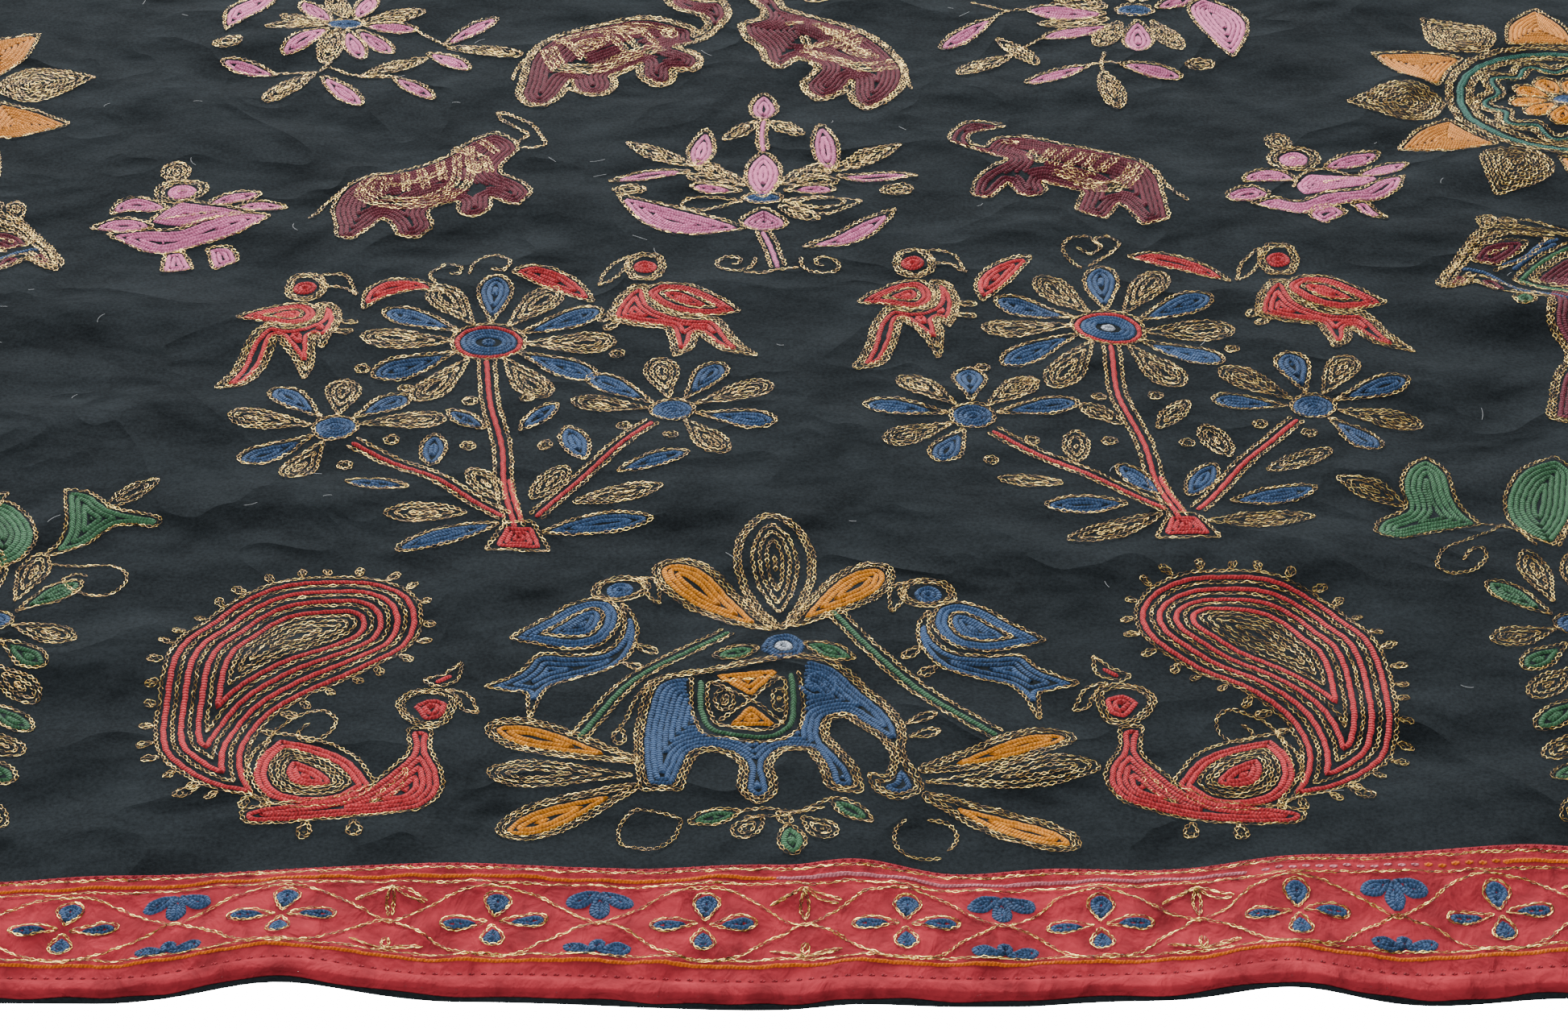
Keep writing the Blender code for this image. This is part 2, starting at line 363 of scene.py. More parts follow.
def smooth_line(points, closed=False):
    """Runs a smooth line through the points. A turn of more than 65 degrees stays a corner."""
    given = np.asarray(points, float)
    if closed:
        knots = np.vstack([given[-1:], given, given[:2]])
    else:
        knots = np.vstack([2 * given[0] - given[1], given, 2 * given[-1] - given[-2]])
    steps = np.diff(knots, axis=0)
    long = np.maximum(np.hypot(*steps.T), 1e-6)[:, None]
    ways = steps / long
    before, after = ways[:-1], ways[1:]
    soft = (before * long[1:] + after * long[:-1]) / (long[:-1] + long[1:])
    corner = (np.sum(before * after, axis=1) < math.cos(math.radians(65)))[:, None]
    arriving = np.where(corner, before, soft)
    leaving = np.where(corner, after, soft)
    share = np.linspace(0.0, 1.0, 10, endpoint=False)[None, :, None]
    start, end = knots[1:-2, None], knots[2:-1, None]
    reach = long[1:-1, None]
    out_way, in_way = leaving[:-1, None] * reach, arriving[1:, None] * reach
    line = (start * (2 * share ** 3 - 3 * share ** 2 + 1) + out_way * (share ** 3 - 2 * share ** 2 + share)
            + end * (3 * share ** 2 - 2 * share ** 3) + in_way * (share ** 3 - share ** 2)).reshape(-1, 2)
    if not closed:
        line = np.vstack([line, given[-1]])
    return even_line(line, 0.8, closed)


def outline(points, smooth=True):
    """Makes a closed, evenly stepped outline that runs anticlockwise."""
    line = smooth_line(points, True) if smooth else even_line(np.asarray(points, float), 0.8, True)
    x, y = line.T
    if np.sum(x * np.roll(y, -1) - y * np.roll(x, -1)) < 0.0:
        line = line[::-1]
    return line


def heading(degrees):
    """Gives the direction at an angle, as a step of length one."""
    return np.array((math.cos(math.radians(degrees)), math.sin(math.radians(degrees))))


def petal(root, tip, width, belly=0.66, blunt=0.7, bend=0.0):
    """Outlines a petal: slim at its root, fullest at belly of its length, rounder as blunt is lower."""
    root, tip = np.asarray(root, float), np.asarray(tip, float)
    share = (1.0 - np.cos(np.linspace(0.0, math.pi, 17))) / 2.0
    half = width / 2 * np.sin(math.pi * share ** (math.log(0.5) / math.log(belly))) ** blunt
    forward = tip - root
    sideways = np.array((-forward[1], forward[0])) / np.hypot(*forward)
    bow = bend * np.hypot(*forward) * np.sin(math.pi * share)
    middle = root + np.outer(share, forward)
    left = middle + np.outer(bow + half, sideways)
    right = middle + np.outer(bow - half, sideways)
    return outline(np.vstack([left[:-1], right[:0:-1]]), smooth=False)


def leaf(root, tip, width, bend=0.0):
    """Outlines a leaf that is pointed at both ends."""
    return petal(root, tip, width, belly=0.5, blunt=1.0, bend=bend)


def oval(middle, width, height, turn=0.0):
    """Outlines an oval."""
    angle = np.linspace(0.0, 2.0 * math.pi, 25)[:-1]
    x, y = width / 2 * np.cos(angle), height / 2 * np.sin(angle)
    c, s = math.cos(math.radians(turn)), math.sin(math.radians(turn))
    return outline(np.column_stack([middle[0] + x * c - y * s, middle[1] + x * s + y * c]), smooth=False)


def curl(middle, radius, turns, start, hand=1.0, core=0.2):
    """Runs a line in a spiral from its rim to its core, with start in degrees."""
    share = np.linspace(0.0, 1.0, max(12, int(turns * 24)))
    angle = math.radians(start) + hand * 2.0 * math.pi * turns * share
    reach = radius * (1.0 - (1.0 - core) * share)
    line = np.column_stack([middle[0] + reach * np.cos(angle), middle[1] + reach * np.sin(angle)])
    return even_line(line, 0.8, False)


def left_of(ahead):
    """Gives the step of length one to the left of each direction."""
    ahead = ahead / np.maximum(np.hypot(*ahead.T), 1e-9)[:, None]
    return np.column_stack([-ahead[:, 1], ahead[:, 0]])


def inset(shape, distance):
    """Lists the lines that run a set distance inside an anticlockwise outline, or outside if negative."""
    if abs(distance) < 0.01:
        return [(shape, True)]
    moved = shape + distance * left_of(np.roll(shape, -2, axis=0) - np.roll(shape, 2, axis=0))
    gaps = np.hypot(moved[:, None, 0] - shape[None, :, 0], moved[:, None, 1] - shape[None, :, 1])
    kept = np.flatnonzero(gaps.min(axis=1) > abs(distance) - 0.35)
    if len(kept) < 6:
        return []
    points = moved[kept]
    skipped = (np.roll(kept, -1) - kept) % len(shape) > 1
    far = np.hypot(*(np.roll(points, -1, axis=0) - points).T) > 3.0
    breaks = np.flatnonzero(skipped & far)
    if len(breaks) == 0:
        return [(softened(points, True), True)]
    points = np.roll(points, -(breaks[0] + 1), axis=0)
    runs = []
    for run in np.split(points, breaks[1:] - breaks[0]):
        if len(run) < 5:
            continue
        closed = len(run) > 9 and np.hypot(*(run[0] - run[-1])) < 4.0
        runs.append((softened(run, closed), closed))
    return runs


def softened(points, closed):
    """Evens out the steps of a line and takes the edge off its corners."""
    line = even_line(points, 0.8, closed)
    if closed:
        return (np.roll(line, 1, axis=0) + 2.0 * line + np.roll(line, -1, axis=0)) / 4.0
    line[1:-1] = (line[:-2] + 2.0 * line[1:-1] + line[2:]) / 4.0
    return line


def row_inside(shape, thread, distance):
    """Works one row of a thread at a set distance inside an outline, or outside if negative."""
    return [Line(thread, points, closed) for points, closed in inset(shape, distance)]


def rows_inside(shape, thread, start, pitch, most=40):
    """Works rows of one thread in an outline, each inside the last, till no room or no row is left."""
    lines = []
    for row in range(most):
        found = row_inside(shape, thread, start + row * pitch)
        if not found:
            break
        lines += found
    return lines


def edged(shape, rows=1):
    """Runs gold chain round an outline, each further row outside the last."""
    lines = []
    for row in range(rows):
        lines += row_inside(shape, "gold", -row * GOLD_PITCH)
    return lines


def filled(shape, thread, rows=1, pitch=FLOSS_PITCH, start=FLOSS_START):
    """Fills an outline with floss rows and runs gold chain round it."""
    return edged(shape, rows) + rows_inside(shape, thread, start, pitch)


def double_edged(shape):
    """Runs two rows of gold chain along the inner side of an outline."""
    return rows_inside(shape, "gold", 0.0, GOLD_PITCH, most=2)


def gold_filled(shape, pitch=2.8):
    """Fills an outline with rows of gold chain."""
    return edged(shape) + rows_inside(shape, "gold", pitch, pitch)


def worked_petals(petals, belly=0.66, blunt=0.7, rows=1, pitch=2.8, start=FLOSS_START):
    """Works petals, with the root, tip, width and thread of each, in gold chain or in edged floss."""
    lines = []
    for root, tip, width, thread in petals:
        shape = petal(root, tip, width, belly, blunt)
        if thread == "gold":
            lines += gold_filled(shape, pitch)
        else:
            lines += filled(shape, thread, rows, start=start)
    return lines


def flower_eye(middle, edge, core, start, pitch=2.4):
    """Works the blue eye of a flower, with the size of its gold edge and of the floss in it."""
    return edged(oval(middle, *edge)) + rows_inside(oval(middle, *core), "blue", start, pitch)


def stroke(thread, points, closed=False):
    """Runs one row of a thread through the points."""
    return [Line(thread, smooth_line(points, closed), closed)]


def gold_bars(bars):
    """Runs two rows of gold chain side by side through each list of points."""
    lines = []
    for points in bars:
        line = smooth_line(points)
        lines += [Line("gold", beside(line, side), False) for side in (1.5, -1.5)]
    return lines


def beside(line, distance):
    """Runs a line at a set distance to the left of an open line, or to the right if negative."""
    return line + distance * left_of(np.gradient(line, axis=0))


def stem(points, thread, gap=3.0, rows=1):
    """Runs one or more floss rows with a gold row on either side."""
    line = smooth_line(points)
    lines = [Line(thread, beside(line, 2.4 * (row - (rows - 1) / 2)), False) for row in range(rows)]
    reach = gap + 1.2 * (rows - 1)
    return lines + [Line("gold", beside(line, side), False) for side in (reach, -reach)]


def inside(points, shape):
    """Tells which points lie inside a closed outline."""
    x, y = points[:, 0, None], points[:, 1, None]
    x0, y0 = shape.T
    x1, y1 = np.roll(shape, -1, axis=0).T
    spans = (y0 > y) != (y1 > y)
    rise = np.where(np.abs(y1 - y0) < 1e-9, 1e-9, y1 - y0)
    return np.sum(spans & (x < x0 + (x1 - x0) * (y - y0) / rise), axis=1) % 2 == 1


def cut_out(lines, shape):
    """Stops lines where they would run into an outline, and takes them up again past it."""
    left = []
    for line in lines:
        points = line.points
        if line.closed:
            points = np.vstack([points, points[:1]])
        hidden = inside(points, shape)
        if not hidden.any():
            left.append(line)
            continue
        if line.closed and not hidden.all():
            first = int(np.flatnonzero(hidden)[0])
            points = np.roll(points[:-1], -first, axis=0)
            hidden = inside(points, shape)
        for run in np.split(np.arange(len(points)), np.flatnonzero(np.diff(hidden.astype(int))) + 1):
            if not hidden[run[0]] and len(run) > 4:
                left.append(Line(line.thread, points[run], False))
    return left


def placed(lines, middle, mirrored=False, turn=0.0):
    """Moves a motif to its middle on the cloth, mirrored or turned in degrees if need be."""
    c, s = math.cos(math.radians(turn)), math.sin(math.radians(turn))
    moved = []
    for line in lines:
        x = line.points[:, 0] * (-1.0 if mirrored else 1.0)
        y = line.points[:, 1]
        points = np.column_stack([middle[0] + x * c - y * s, middle[1] + x * s + y * c])
        moved.append(Line(line.thread, points, line.closed))
    return moved


def from_edge(lines):
    """Turns a pattern in millimetres from the bottom edge into metres about the cloth's middle."""
    start = np.array((0.0, -LENGTH / 2))
    return [Line(line.thread, line.points * MM + start, line.closed) for line in lines]


# Motifs of the lowest row


def blue_elephant():
    """Draws the blue elephant with its saddle cloth, facing right."""
    body = outline([
        (-49, 38), (-27, 46), (-4, 53), (14, 56), (27, 52), (39, 38), (50, 21), (55, 0), (54, -11),
        (58, -24), (62, -35), (52, -41), (43, -37), (39, -25), (47, -29), (49, -14), (38, 7), (31, 17),
        (24, 15), (23, 5), (29, -11), (35, -24), (37, -37), (24, -35), (20, -22), (15, -8), (5, -8),
        (1, -14), (0, -40), (-6, -44), (-12, -38), (-14, -16), (-21, -10), (-30, -11), (-34, -22),
        (-37, -35), (-53, -35), (-56, -11), (-55, 17)])
    saddle = outline([
        (-34, 44), (-33, 18), (-28, 4), (-14, -1), (2, 0), (11, 8), (14, 25), (13, 42), (16, 60),
        (-10, 60)])
    seat = outline([(-30, 39), (-29, 17), (-25, 8), (-13, 4), (0, 5), (7, 11), (9, 25), (8, 43)])
    lines = double_edged(body)
    lines += cut_out(rows_inside(body, "blue", 4.9, 2.45), saddle)
    lines += stroke("green", [(-30, 38), (-29, 17), (-25, 7), (-13, 3), (0, 4), (7, 11), (9, 25), (8, 43)])
    lines += stroke("gold", [(-34, 40), (-33, 17), (-28, 3), (-13, -1), (2, 0), (11, 8), (13, 25), (11, 44)])
    lines += row_inside(seat, "gold", 3.0)
    lines += rows_inside(outline([(-24, 42), (3, 45), (-9, 28)]), "orange", 0.9, 2.4)
    lines += rows_inside(outline([(-18, 9), (2, 11), (-9, 22)]), "orange", 0.9, 2.4)
    lines += stroke("gold", [(-25, 36), (-8, 24), (5, 12)])
    lines += stroke("gold", [(3, 40), (-9, 25), (-22, 12)])
    lines += gold_filled(oval((-20, 25), 8, 14))
    lines += gold_filled(oval((3, 26), 6, 14))
    lines += [Line("blue", curl((20, 39), 9, 1.6, 200), False)]
    lines += stroke("gold", [(-51, 37), (-58, 22), (-62, 8), (-66, 0), (-64, -5), (-61, -3), (-62, 5)])
    for root, tip in (((55, 8), (69, 17)), ((56, -2), (70, 4))):
        lines += edged(petal(root, tip, 5))
    return lines


def fan(petals):
    """Draws round-tipped petals that spread from one root: root, tip, width and thread of each."""
    return worked_petals(petals, belly=0.71, blunt=0.55, rows=2, pitch=2.9)


# Wing, belly with its tail, head, beak, eye and feet of each pose, facing right
BIRDS = {
    "low": (
        ((-29, -10), (-14, 6), (-5, 17), (4, 22), (12, 21), (17, 13), (17, 1), (11, -10), (0, -15),
         (-14, -14)),
        ((18, 18), (24, 8), (25, -10), (18, -25), (4, -34), (-8, -40), (-17, -66), (-19, -47), (-38, -43),
         (-22, -30), (-16, -20), (-2, -19), (13, -15), (20, -1)),
        ((5, 24), (7, 34), (16, 39), (26, 37), (30, 30), (26, 23), (16, 20)),
        ((25, 38), (31, 36), (35, 17), (30, 23), (28, 29)),
        (17, 29),
        (((24, -9), (35, -17)), ((20, -23), (29, -30))),
    ),
    "upright": (
        ((-30, -6), (-20, 6), (-9, 16), (2, 18), (8, 10), (7, -3), (0, -10), (-15, -9)),
        ((7, 18), (14, 17), (20, 4), (20, -10), (15, -31), (10, -20), (11, -46), (9, -56), (1, -36),
         (-8, -22), (-12, -44), (-20, -62), (-33, -67), (-26, -47), (-21, -23), (-14, -10), (-1, -12),
         (7, -5), (9, 8)),
        ((-10, 37), (-7, 45), (2, 46), (9, 37), (9, 27), (2, 20), (-7, 24)),
        ((6, 45), (17, 44), (26, 25), (16, 33), (10, 33)),
        (-1, 34),
        (((19, -4), (30, -5)), ((17, -16), (29, -17))),
    ),
    "leaning": (
        ((-27, -10), (-13, 5), (2, 16), (15, 16), (21, 8), (15, -4), (1, -13), (-13, -14)),
        ((20, 14), (27, 15), (33, 5), (37, -7), (39, -18), (27, -24), (9, -28), (5, -54), (-3, -46),
         (-6, -31), (-17, -46), (-35, -53), (-25, -38), (-13, -16), (1, -15), (15, -6)),
        ((12, 33), (15, 46), (26, 47), (32, 35), (28, 21), (17, 20)),
        ((30, 44), (40, 33), (45, 15), (37, 22), (32, 32)),
        (22, 34),
        (((36, -12), (43, -21)), ((32, -21), (40, -28))),
    ),
}


def perched_bird(thread, pose):
    """Draws a bird that faces right: low, upright or leaning on its branch."""
    wing, belly, head, beak, eye, feet = BIRDS[pose]
    wing, belly, head = outline(wing), outline(belly), outline(head)
    lines = edged(wing)
    lines += rows_inside(wing, thread, 2.4, 2.5, most=2)
    lines += rows_inside(wing, "gold", 7.4, GOLD_PITCH, most=1)
    lines += rows_inside(wing, thread, 9.8, 2.4)
    if pose == "low":
        lines += cut_out(filled(belly, thread, pitch=3.1, start=2.3), wing)
    else:
        lines += cut_out(double_edged(belly) + rows_inside(belly, thread, 4.3, 2.9), wing)
    lines += double_edged(head)
    lines += rows_inside(oval(eye, 12, 12), thread, 1.2, 2.4)
    lines += edged(outline(beak))
    for root, tip in feet:
        lines += edged(petal(root, tip, 4.5))
    return lines


def gold_tufts(line, spacing, length):
    """Sets small gold loops along the outer side of an anticlockwise line."""
    places = even_line(line, spacing, False)
    ways = np.gradient(places, axis=0)
    lines = []
    for number, (here, way) in enumerate(zip(places, ways)):
        out = np.array((way[1], -way[0])) / max(np.hypot(*way), 1e-6)
        lean = 0.35 * math.sin(2.1 * number)
        tip = here + length * (1.0 + 0.18 * math.sin(1.3 * number)) * (out + lean * way / np.hypot(*way))
        lines += edged(petal(here + 0.8 * out, tip, 3.3, belly=0.6))
    return lines


def paisley_peacock():
    """Draws the peacock whose tail is one great paisley, facing right."""
    rim = [
        (-1, -76), (-12, -71), (-24, -67), (-33, -61), (-42, -52), (-50, -41), (-54, -28), (-56, 0),
        (-55, 25), (-51, 41), (-44, 54), (-36, 67), (-20, 80), (4, 86), (27, 85), (42, 74), (49, 56),
        (46, 38), (28, 17), (6, -1), (-10, -20), (-14, -38), (-11, -58)]
    tail = outline(rim)
    lines = edged(tail)
    for row, thread in enumerate(("coral", "gold") * 4):
        lines += rows_inside(tail, thread, 3.2 + 3.6 * row, 1.0, most=1)
    lines += rows_inside(tail, "gold", 31.6, 3.0)
    tufted = smooth_line(rim[::-1] + [rim[-1]])
    lines += gold_tufts(tufted[44:-22], 12.5, 7.5)
    body = outline([
        (50, -24), (60, -24), (61, -40), (66, -52), (67, -67), (61, -77), (47, -83), (27, -88), (3, -90),
        (-9, -88), (-12, -82), (-4, -79), (7, -77), (19, -75), (34, -67), (44, -55), (52, -41)])
    lines += filled(body, "coral", pitch=2.7)
    head = outline([(44, -6), (49, 2), (60, 4), (69, -1), (68, -12), (63, -22), (54, -22), (47, -15)])
    lines += double_edged(head)
    lines += rows_inside(outline([(51, -8), (58, -3), (65, -6), (63, -15), (57, -18)]), "coral", 1.0, 2.5)
    lines += edged(outline([(63, 5), (71, 2), (79, -14), (72, -11), (70, -4)]))
    crest = outline([(53, 11), (61, 15), (69, 24), (67, 10), (59, 6)])
    lines += edged(crest) + stroke("coral", [(59, 10), (62, 13), (65, 15)])
    wing = outline([
        (-2, -31), (-8, -45), (-8, -61), (-1, -72), (11, -77), (26, -75), (38, -63), (27, -46), (14, -37)])
    lines += edged(outline([
        (-5, -26), (-12, -45), (-12, -62), (-4, -76), (11, -80), (27, -78), (41, -63), (29, -43),
        (15, -33)]))
    lines += rows_inside(wing, "coral", 0.6, 2.6, most=2)
    lines += rows_inside(wing, "gold", 6.0, 2.6, most=3)
    lines += rows_inside(wing, "coral", 13.8, 2.4)
    lines += stroke("gold", [(-9, -56), (-8, -42), (-3, -22), (5, -15), (14, -12), (19, -17), (18, -28),
                             (12, -33), (6, -31), (5, -25), (9, -21)])
    lines += edged(leaf((39, -76), (52, -52), 5, bend=-0.1))
    for root, tip in (((16, -90), (15, -100)), ((34, -88), (36, -99)), ((-30, -64), (-40, -72))):
        lines += gold_filled(petal(root, tip, 5.5))
    return lines


def elephant_group():
    """Draws the middle of the lowest row: elephant, fans, birds and the sprigs about them."""
    lines = placed(blue_elephant(), (-4, 165))
    lines += placed(fan([((0, 11), (-60, 34), 15, "orange"), ((0, 1), (-60, 3), 17, "gold"),
                         ((0, -6), (-51, -35), 16, "orange")]), (-60, 138))
    lines += placed(fan([((1, 4), (62, 28), 14, "orange"), ((1, -4), (73, 5), 16, "gold"),
                         ((2, -12), (59, -45), 15, "orange")]), (57, 138))
    top = petal((0, 2), (-5, 85), 31, belly=0.62, blunt=0.6)
    lines += placed(edged(top, 2) + rows_inside(top, "gold", 5.5, 3.2), (0, 240))
    lines += placed(fan([((-4, 1), (-53, 49), 21, "orange"), ((4, 3), (45, 47), 21, "orange")]), (0, 240))
    eye = outline([(-9, -2), (-5, 7), (3, 9), (9, 3), (8, -5), (-1, -9)])
    eye_rows = rows_inside(eye, "blue", 0.8, 2.4, most=2) + rows_inside(eye, "pale", 6.0, 2.0)
    lines += placed(eye_rows, (0, 227))
    lines += placed(filled(leaf((-9, -1), (-30, -6), 10), "green", start=2.3), (0, 227))
    lines += placed(filled(leaf((9, 3), (32, -7), 11), "green", start=2.3), (0, 227))
    lines += placed(stem([(-23, 15), (-60, -20), (-84, -62)], "green", 3.4), (0, 227))
    lines += placed(stem([(22, 28), (44, -8), (65, -36), (89, -61)], "green", 3.4), (0, 227))
    lines += placed(perched_bird("blue", "low"), (-88, 243))
    lines += placed(perched_bird("blue", "low"), (84, 241), mirrored=True, turn=6)
    sprig = filled(leaf((-15, -1), (-37, -8), 10), "green", start=2.3)
    sprig += filled(leaf((20, 8), (38, -8), 9), "green", start=2.3)
    sprig += filled(petal((4, -10), (6, -31), 11, belly=0.55), "green", start=2.3)
    sprig += gold_filled(petal((-6, -3), (-17, -19), 11)) + gold_filled(petal((9, -4), (22, -19), 12))
    sprig += stroke("gold", [(-17, -1), (-6, 1), (6, -1), (20, 7)])
    sprig += stroke("gold", [(-14, -5), (4, -3), (18, 2)])
    sprig += gold_filled(petal((0, 0), (4, -10), 6))
    lines += placed(sprig, (-1, 117))
    lines += placed(edged(outline([(-12, 2), (-6, 13), (4, 11), (13, 6), (10, -6), (0, -13), (-11, -10)])),
                    (-53, 105))
    broken_ring = stroke("gold", [(-7, 13), (-12, 4), (-11, -6), (-4, -12), (6, -11)])
    broken_ring += stroke("gold", [(2, 13), (10, 10), (13, 0), (9, -6)])
    return lines + placed(broken_ring, (57, 99))


def corner_half(side):
    """Draws the inner half of a corner plant, facing left, as it is on the right or the left."""
    if side == "right":
        tulip = outline([
            (-27, 86), (-33, 100), (-35, 120), (-42, 132), (-51, 124), (-57, 106), (-56, 96), (-70, 84),
            (-74, 73), (-66, 68), (-48, 74), (-24, 82)])
        lines = gold_filled(leaf((-57, 96), (-86, 116), 13))
        lines += stroke("gold", [(-3, 62), (-12, 78), (-24, 82)])
        lines += stroke("gold", [(-14, 81), (-32, 66), (-47, 54), (-50, 42), (-44, 37), (-34, 42), (-27, 53),
                                 (-29, 59), (-35, 54), (-38, 48)])
    else:
        tulip = outline([
            (-11, 105), (-22, 102), (-34, 90), (-59, 82), (-57, 76), (-38, 77), (-26, 65), (-10, 56),
            (-16, 74), (-14, 90)])
        lines = gold_filled(leaf((-33, 88), (-53, 113), 11))
        lines += stroke("gold", [(-14, 50), (-29, 47), (-43, 45), (-50, 35), (-47, 25), (-38, 21), (-27, 26),
                                 (-21, 36), (-27, 40), (-32, 37)])
    lines += filled(tulip, "green")
    return lines + worked_petals((
        ((-4, 16), (-9, 58), 13, "gold"),
        ((-6, 6), (-30, 34), 14, "green"), ((-6, -4), (-36, -14), 14, "gold"),
        ((-3, -14), (-26, -33), 12, "green"), ((-2, -30), (-26, -53), 13, "gold"),
        ((-1, -52), (-27, -73), 12, "green"), ((-1, -74), (-27, -92), 12, "gold"),
        ((0, -92), (-27, -110), 12, "green"), ((0, -112), (-28, -138), 13, "gold")))


def corner_plant(side):
    """Draws a whole corner plant: the half that shows, its mirror image and the bud between them."""
    half = corner_half(side)
    lines = half + placed(half, (4, 0), mirrored=True)
    if side == "right":
        bud = outline([
            (4, 62), (-8, 76), (-12, 92), (-8, 108), (2, 124), (18, 134), (24, 126), (22, 106), (16, 84)])
    else:
        bud = outline([(10, 42), (-1, 54), (-4, 68), (2, 84), (16, 98), (28, 96), (28, 76), (20, 56)])
    lines += filled(bud, "green") + stem([(2, -142), (1, -70), (2, -12)], "green", 2.8)
    return lines + flower_eye((2, 0), (17, 15), (17, 15), 2.4)


# Motifs of the trees


def tree(flowers, leaves, dots):
    """Draws a branching tree: flowers on stems, leaves between them, and gold dots."""
    lines = []
    for middle, petals in flowers:
        for angle, reach, width, thread in petals:
            hub = 16.0 if reach > 54 else 11.0
            root, tip = middle + hub * heading(angle), middle + reach * heading(angle)
            lines += worked_petals([(root, tip, width, thread)], belly=0.7, blunt=0.58, pitch=2.9)
    lines += worked_petals(leaves, belly=0.56, pitch=2.9, start=2.3)
    for spot in dots:
        lines += gold_filled(oval(spot, 6.5, 6.5))
    lines += rows_inside(outline([(-7, 8), (7, 8), (13, -10), (-12, -10)]), "coral", 2.6, 2.5)
    lines += edged(outline([(-6, 10), (6, 10), (15, -12), (-14, -12)], smooth=False))
    return lines


def eyed_hub(middle, core):
    """Draws the red-ringed blue eye of a tree's great flower."""
    shape = oval(middle, 31, 27)
    lines = [Line("coral", shape, True), Line("gold", inset(shape, -2.7)[0][0], True)]
    lines += rows_inside(shape, "blue", 3.0, 2.4, most=3)
    return lines + rows_inside(oval(middle, 7, 6), core, 1.0, 2.0)


LEFT_TREE_MIDDLES = ((-25, 169), (-91, 87), (66, 108))
RIGHT_TREE_MIDDLES = ((-21, 177), (-91, 97), (71, 107))


def tree_petals(first_outer):
    """Lists the petals of a tree's three flowers: angle, reach, width and thread of each."""
    other = "gold" if first_outer == "blue" else "blue"
    great = [(90 - 30 * n, 62, 17, "blue" if n % 2 == 0 else "gold") for n in range(12) if n != 6]
    left = [(132, 50, 15, first_outer), (90, 46, 16, other), (48, 46, 15, first_outer), (13, 52, 15, other),
            (169, 52, 14, other), (213, 50, 15, first_outer), (247, 46, 15, other)]
    right = [(142, 52, 15, first_outer), (100, 46, 16, other), (60, 46, 15, first_outer),
             (23, 52, 15, other), (-18, 52, 14, first_outer), (-58, 48, 15, other), (174, 48, 14, other)]
    return great, left, right


def tree_with_birds(side):
    """Draws a whole tree as it stands on the left or on the right, with its stems, birds and crescents."""
    if side == "left":
        great, left, right = LEFT_TREE_MIDDLES
        petals = tree_petals("blue")
        inner, outer, low, next_up, third = "blue", "gold", "blue", "gold", "blue"
    else:
        great, left, right = RIGHT_TREE_MIDDLES
        petals = tree_petals("gold")
        inner, outer, low, next_up, third = "gold", "blue", "gold", "blue", "gold"
    leaves = [
        ((-21, 88), (-40, 106), 10, inner), ((-5, 86), (12, 110), 10, inner),
        ((-44, 55), (-44, 84), 12, inner), ((27, 60), (17, 90), 13, inner),
        ((42, 49), (75, 67), 11, third), ((-52, 36), (-82, 42), 10, third),
        ((-9, 9), (-54, -14), 13, low), ((10, 3), (60, 12), 14, low), ((-8, 28), (-26, 53), 13, outer),
        ((4, 28), (19, 56), 13, outer), ((-24, 18), (-62, 17), 14, next_up),
        ((23, 24), (64, 36), 13, next_up),
    ]
    dots = [(-30, 114), (-3, 115), (-84, 143), (38, 159), (-28, 74), (8, 74), (-64, 77), (-84, 58), (44, 90),
            (66, 82), (-62, 128)]
    lines = tree(list(zip((great, left, right), petals)), leaves, dots)
    lines += stem([(-2, 6), (-9, 40), (-12, 72), (-20, 110), (great[0], great[1] - 16)], "coral", 3.9)
    lines += stroke("coral", [(1, 10), (-3, 26), (-7, 46)])
    lines += stem([(-7, 14), (-40, 44), (left[0] + 9, left[1] - 12)], "coral", 3.4)
    lines += stem([(7, 14), (30, 52), (right[0] - 9, right[1] - 12)], "coral", 3.4)
    lines += eyed_hub(great, "blue" if side == "left" else "pale")
    for middle in (left, right):
        lines += flower_eye(middle, (21, 20), (19, 18), 1.2)
    return lines + tree_birds(side)


def tree_birds(side):
    """Draws the two red birds on a tree, the crescents and the gold curls above its great flower."""
    if side == "left":
        lines = placed(perched_bird("coral", "upright"), (-120, 190))
        lines += placed(perched_bird("coral", "leaning"), (71, 208), mirrored=True)
        shapes = (outline([
            (-90, 201), (-89, 219), (-82, 228), (-67, 230), (-50, 217), (-63, 220), (-78, 214)]),
                  outline([(-18, 235), (-9, 242), (6, 238), (19, 223), (25, 206), (10, 217), (-5, 226)]))
        curls = ([(-55, 224), (-59, 236), (-52, 247), (-43, 242), (-44, 233), (-49, 236)],
                 [(-39, 233), (-36, 248), (-27, 253), (-19, 245), (-22, 235), (-28, 237)])
    else:
        lines = placed(perched_bird("coral", "upright"), (-114, 207))
        lines += placed(perched_bird("coral", "leaning"), (92, 210), mirrored=True)
        shapes = (outline([
            (-82, 205), (-84, 222), (-77, 237), (-64, 247), (-54, 249), (-62, 234), (-70, 219)]),
                  outline([(-6, 248), (6, 253), (24, 248), (37, 237), (44, 224), (26, 232), (8, 239)]))
        curls = ([(-30, 238), (-38, 252), (-35, 264), (-25, 268), (-18, 258), (-24, 250), (-31, 256)],
                 [(-26, 240), (-16, 249), (-8, 262), (-14, 270), (-22, 266), (-18, 258)])
    for shape in shapes:
        lines += filled(shape, "coral", start=2.4)
    for points in curls:
        lines += stroke("gold", points)
    return lines


# Motifs above the trees


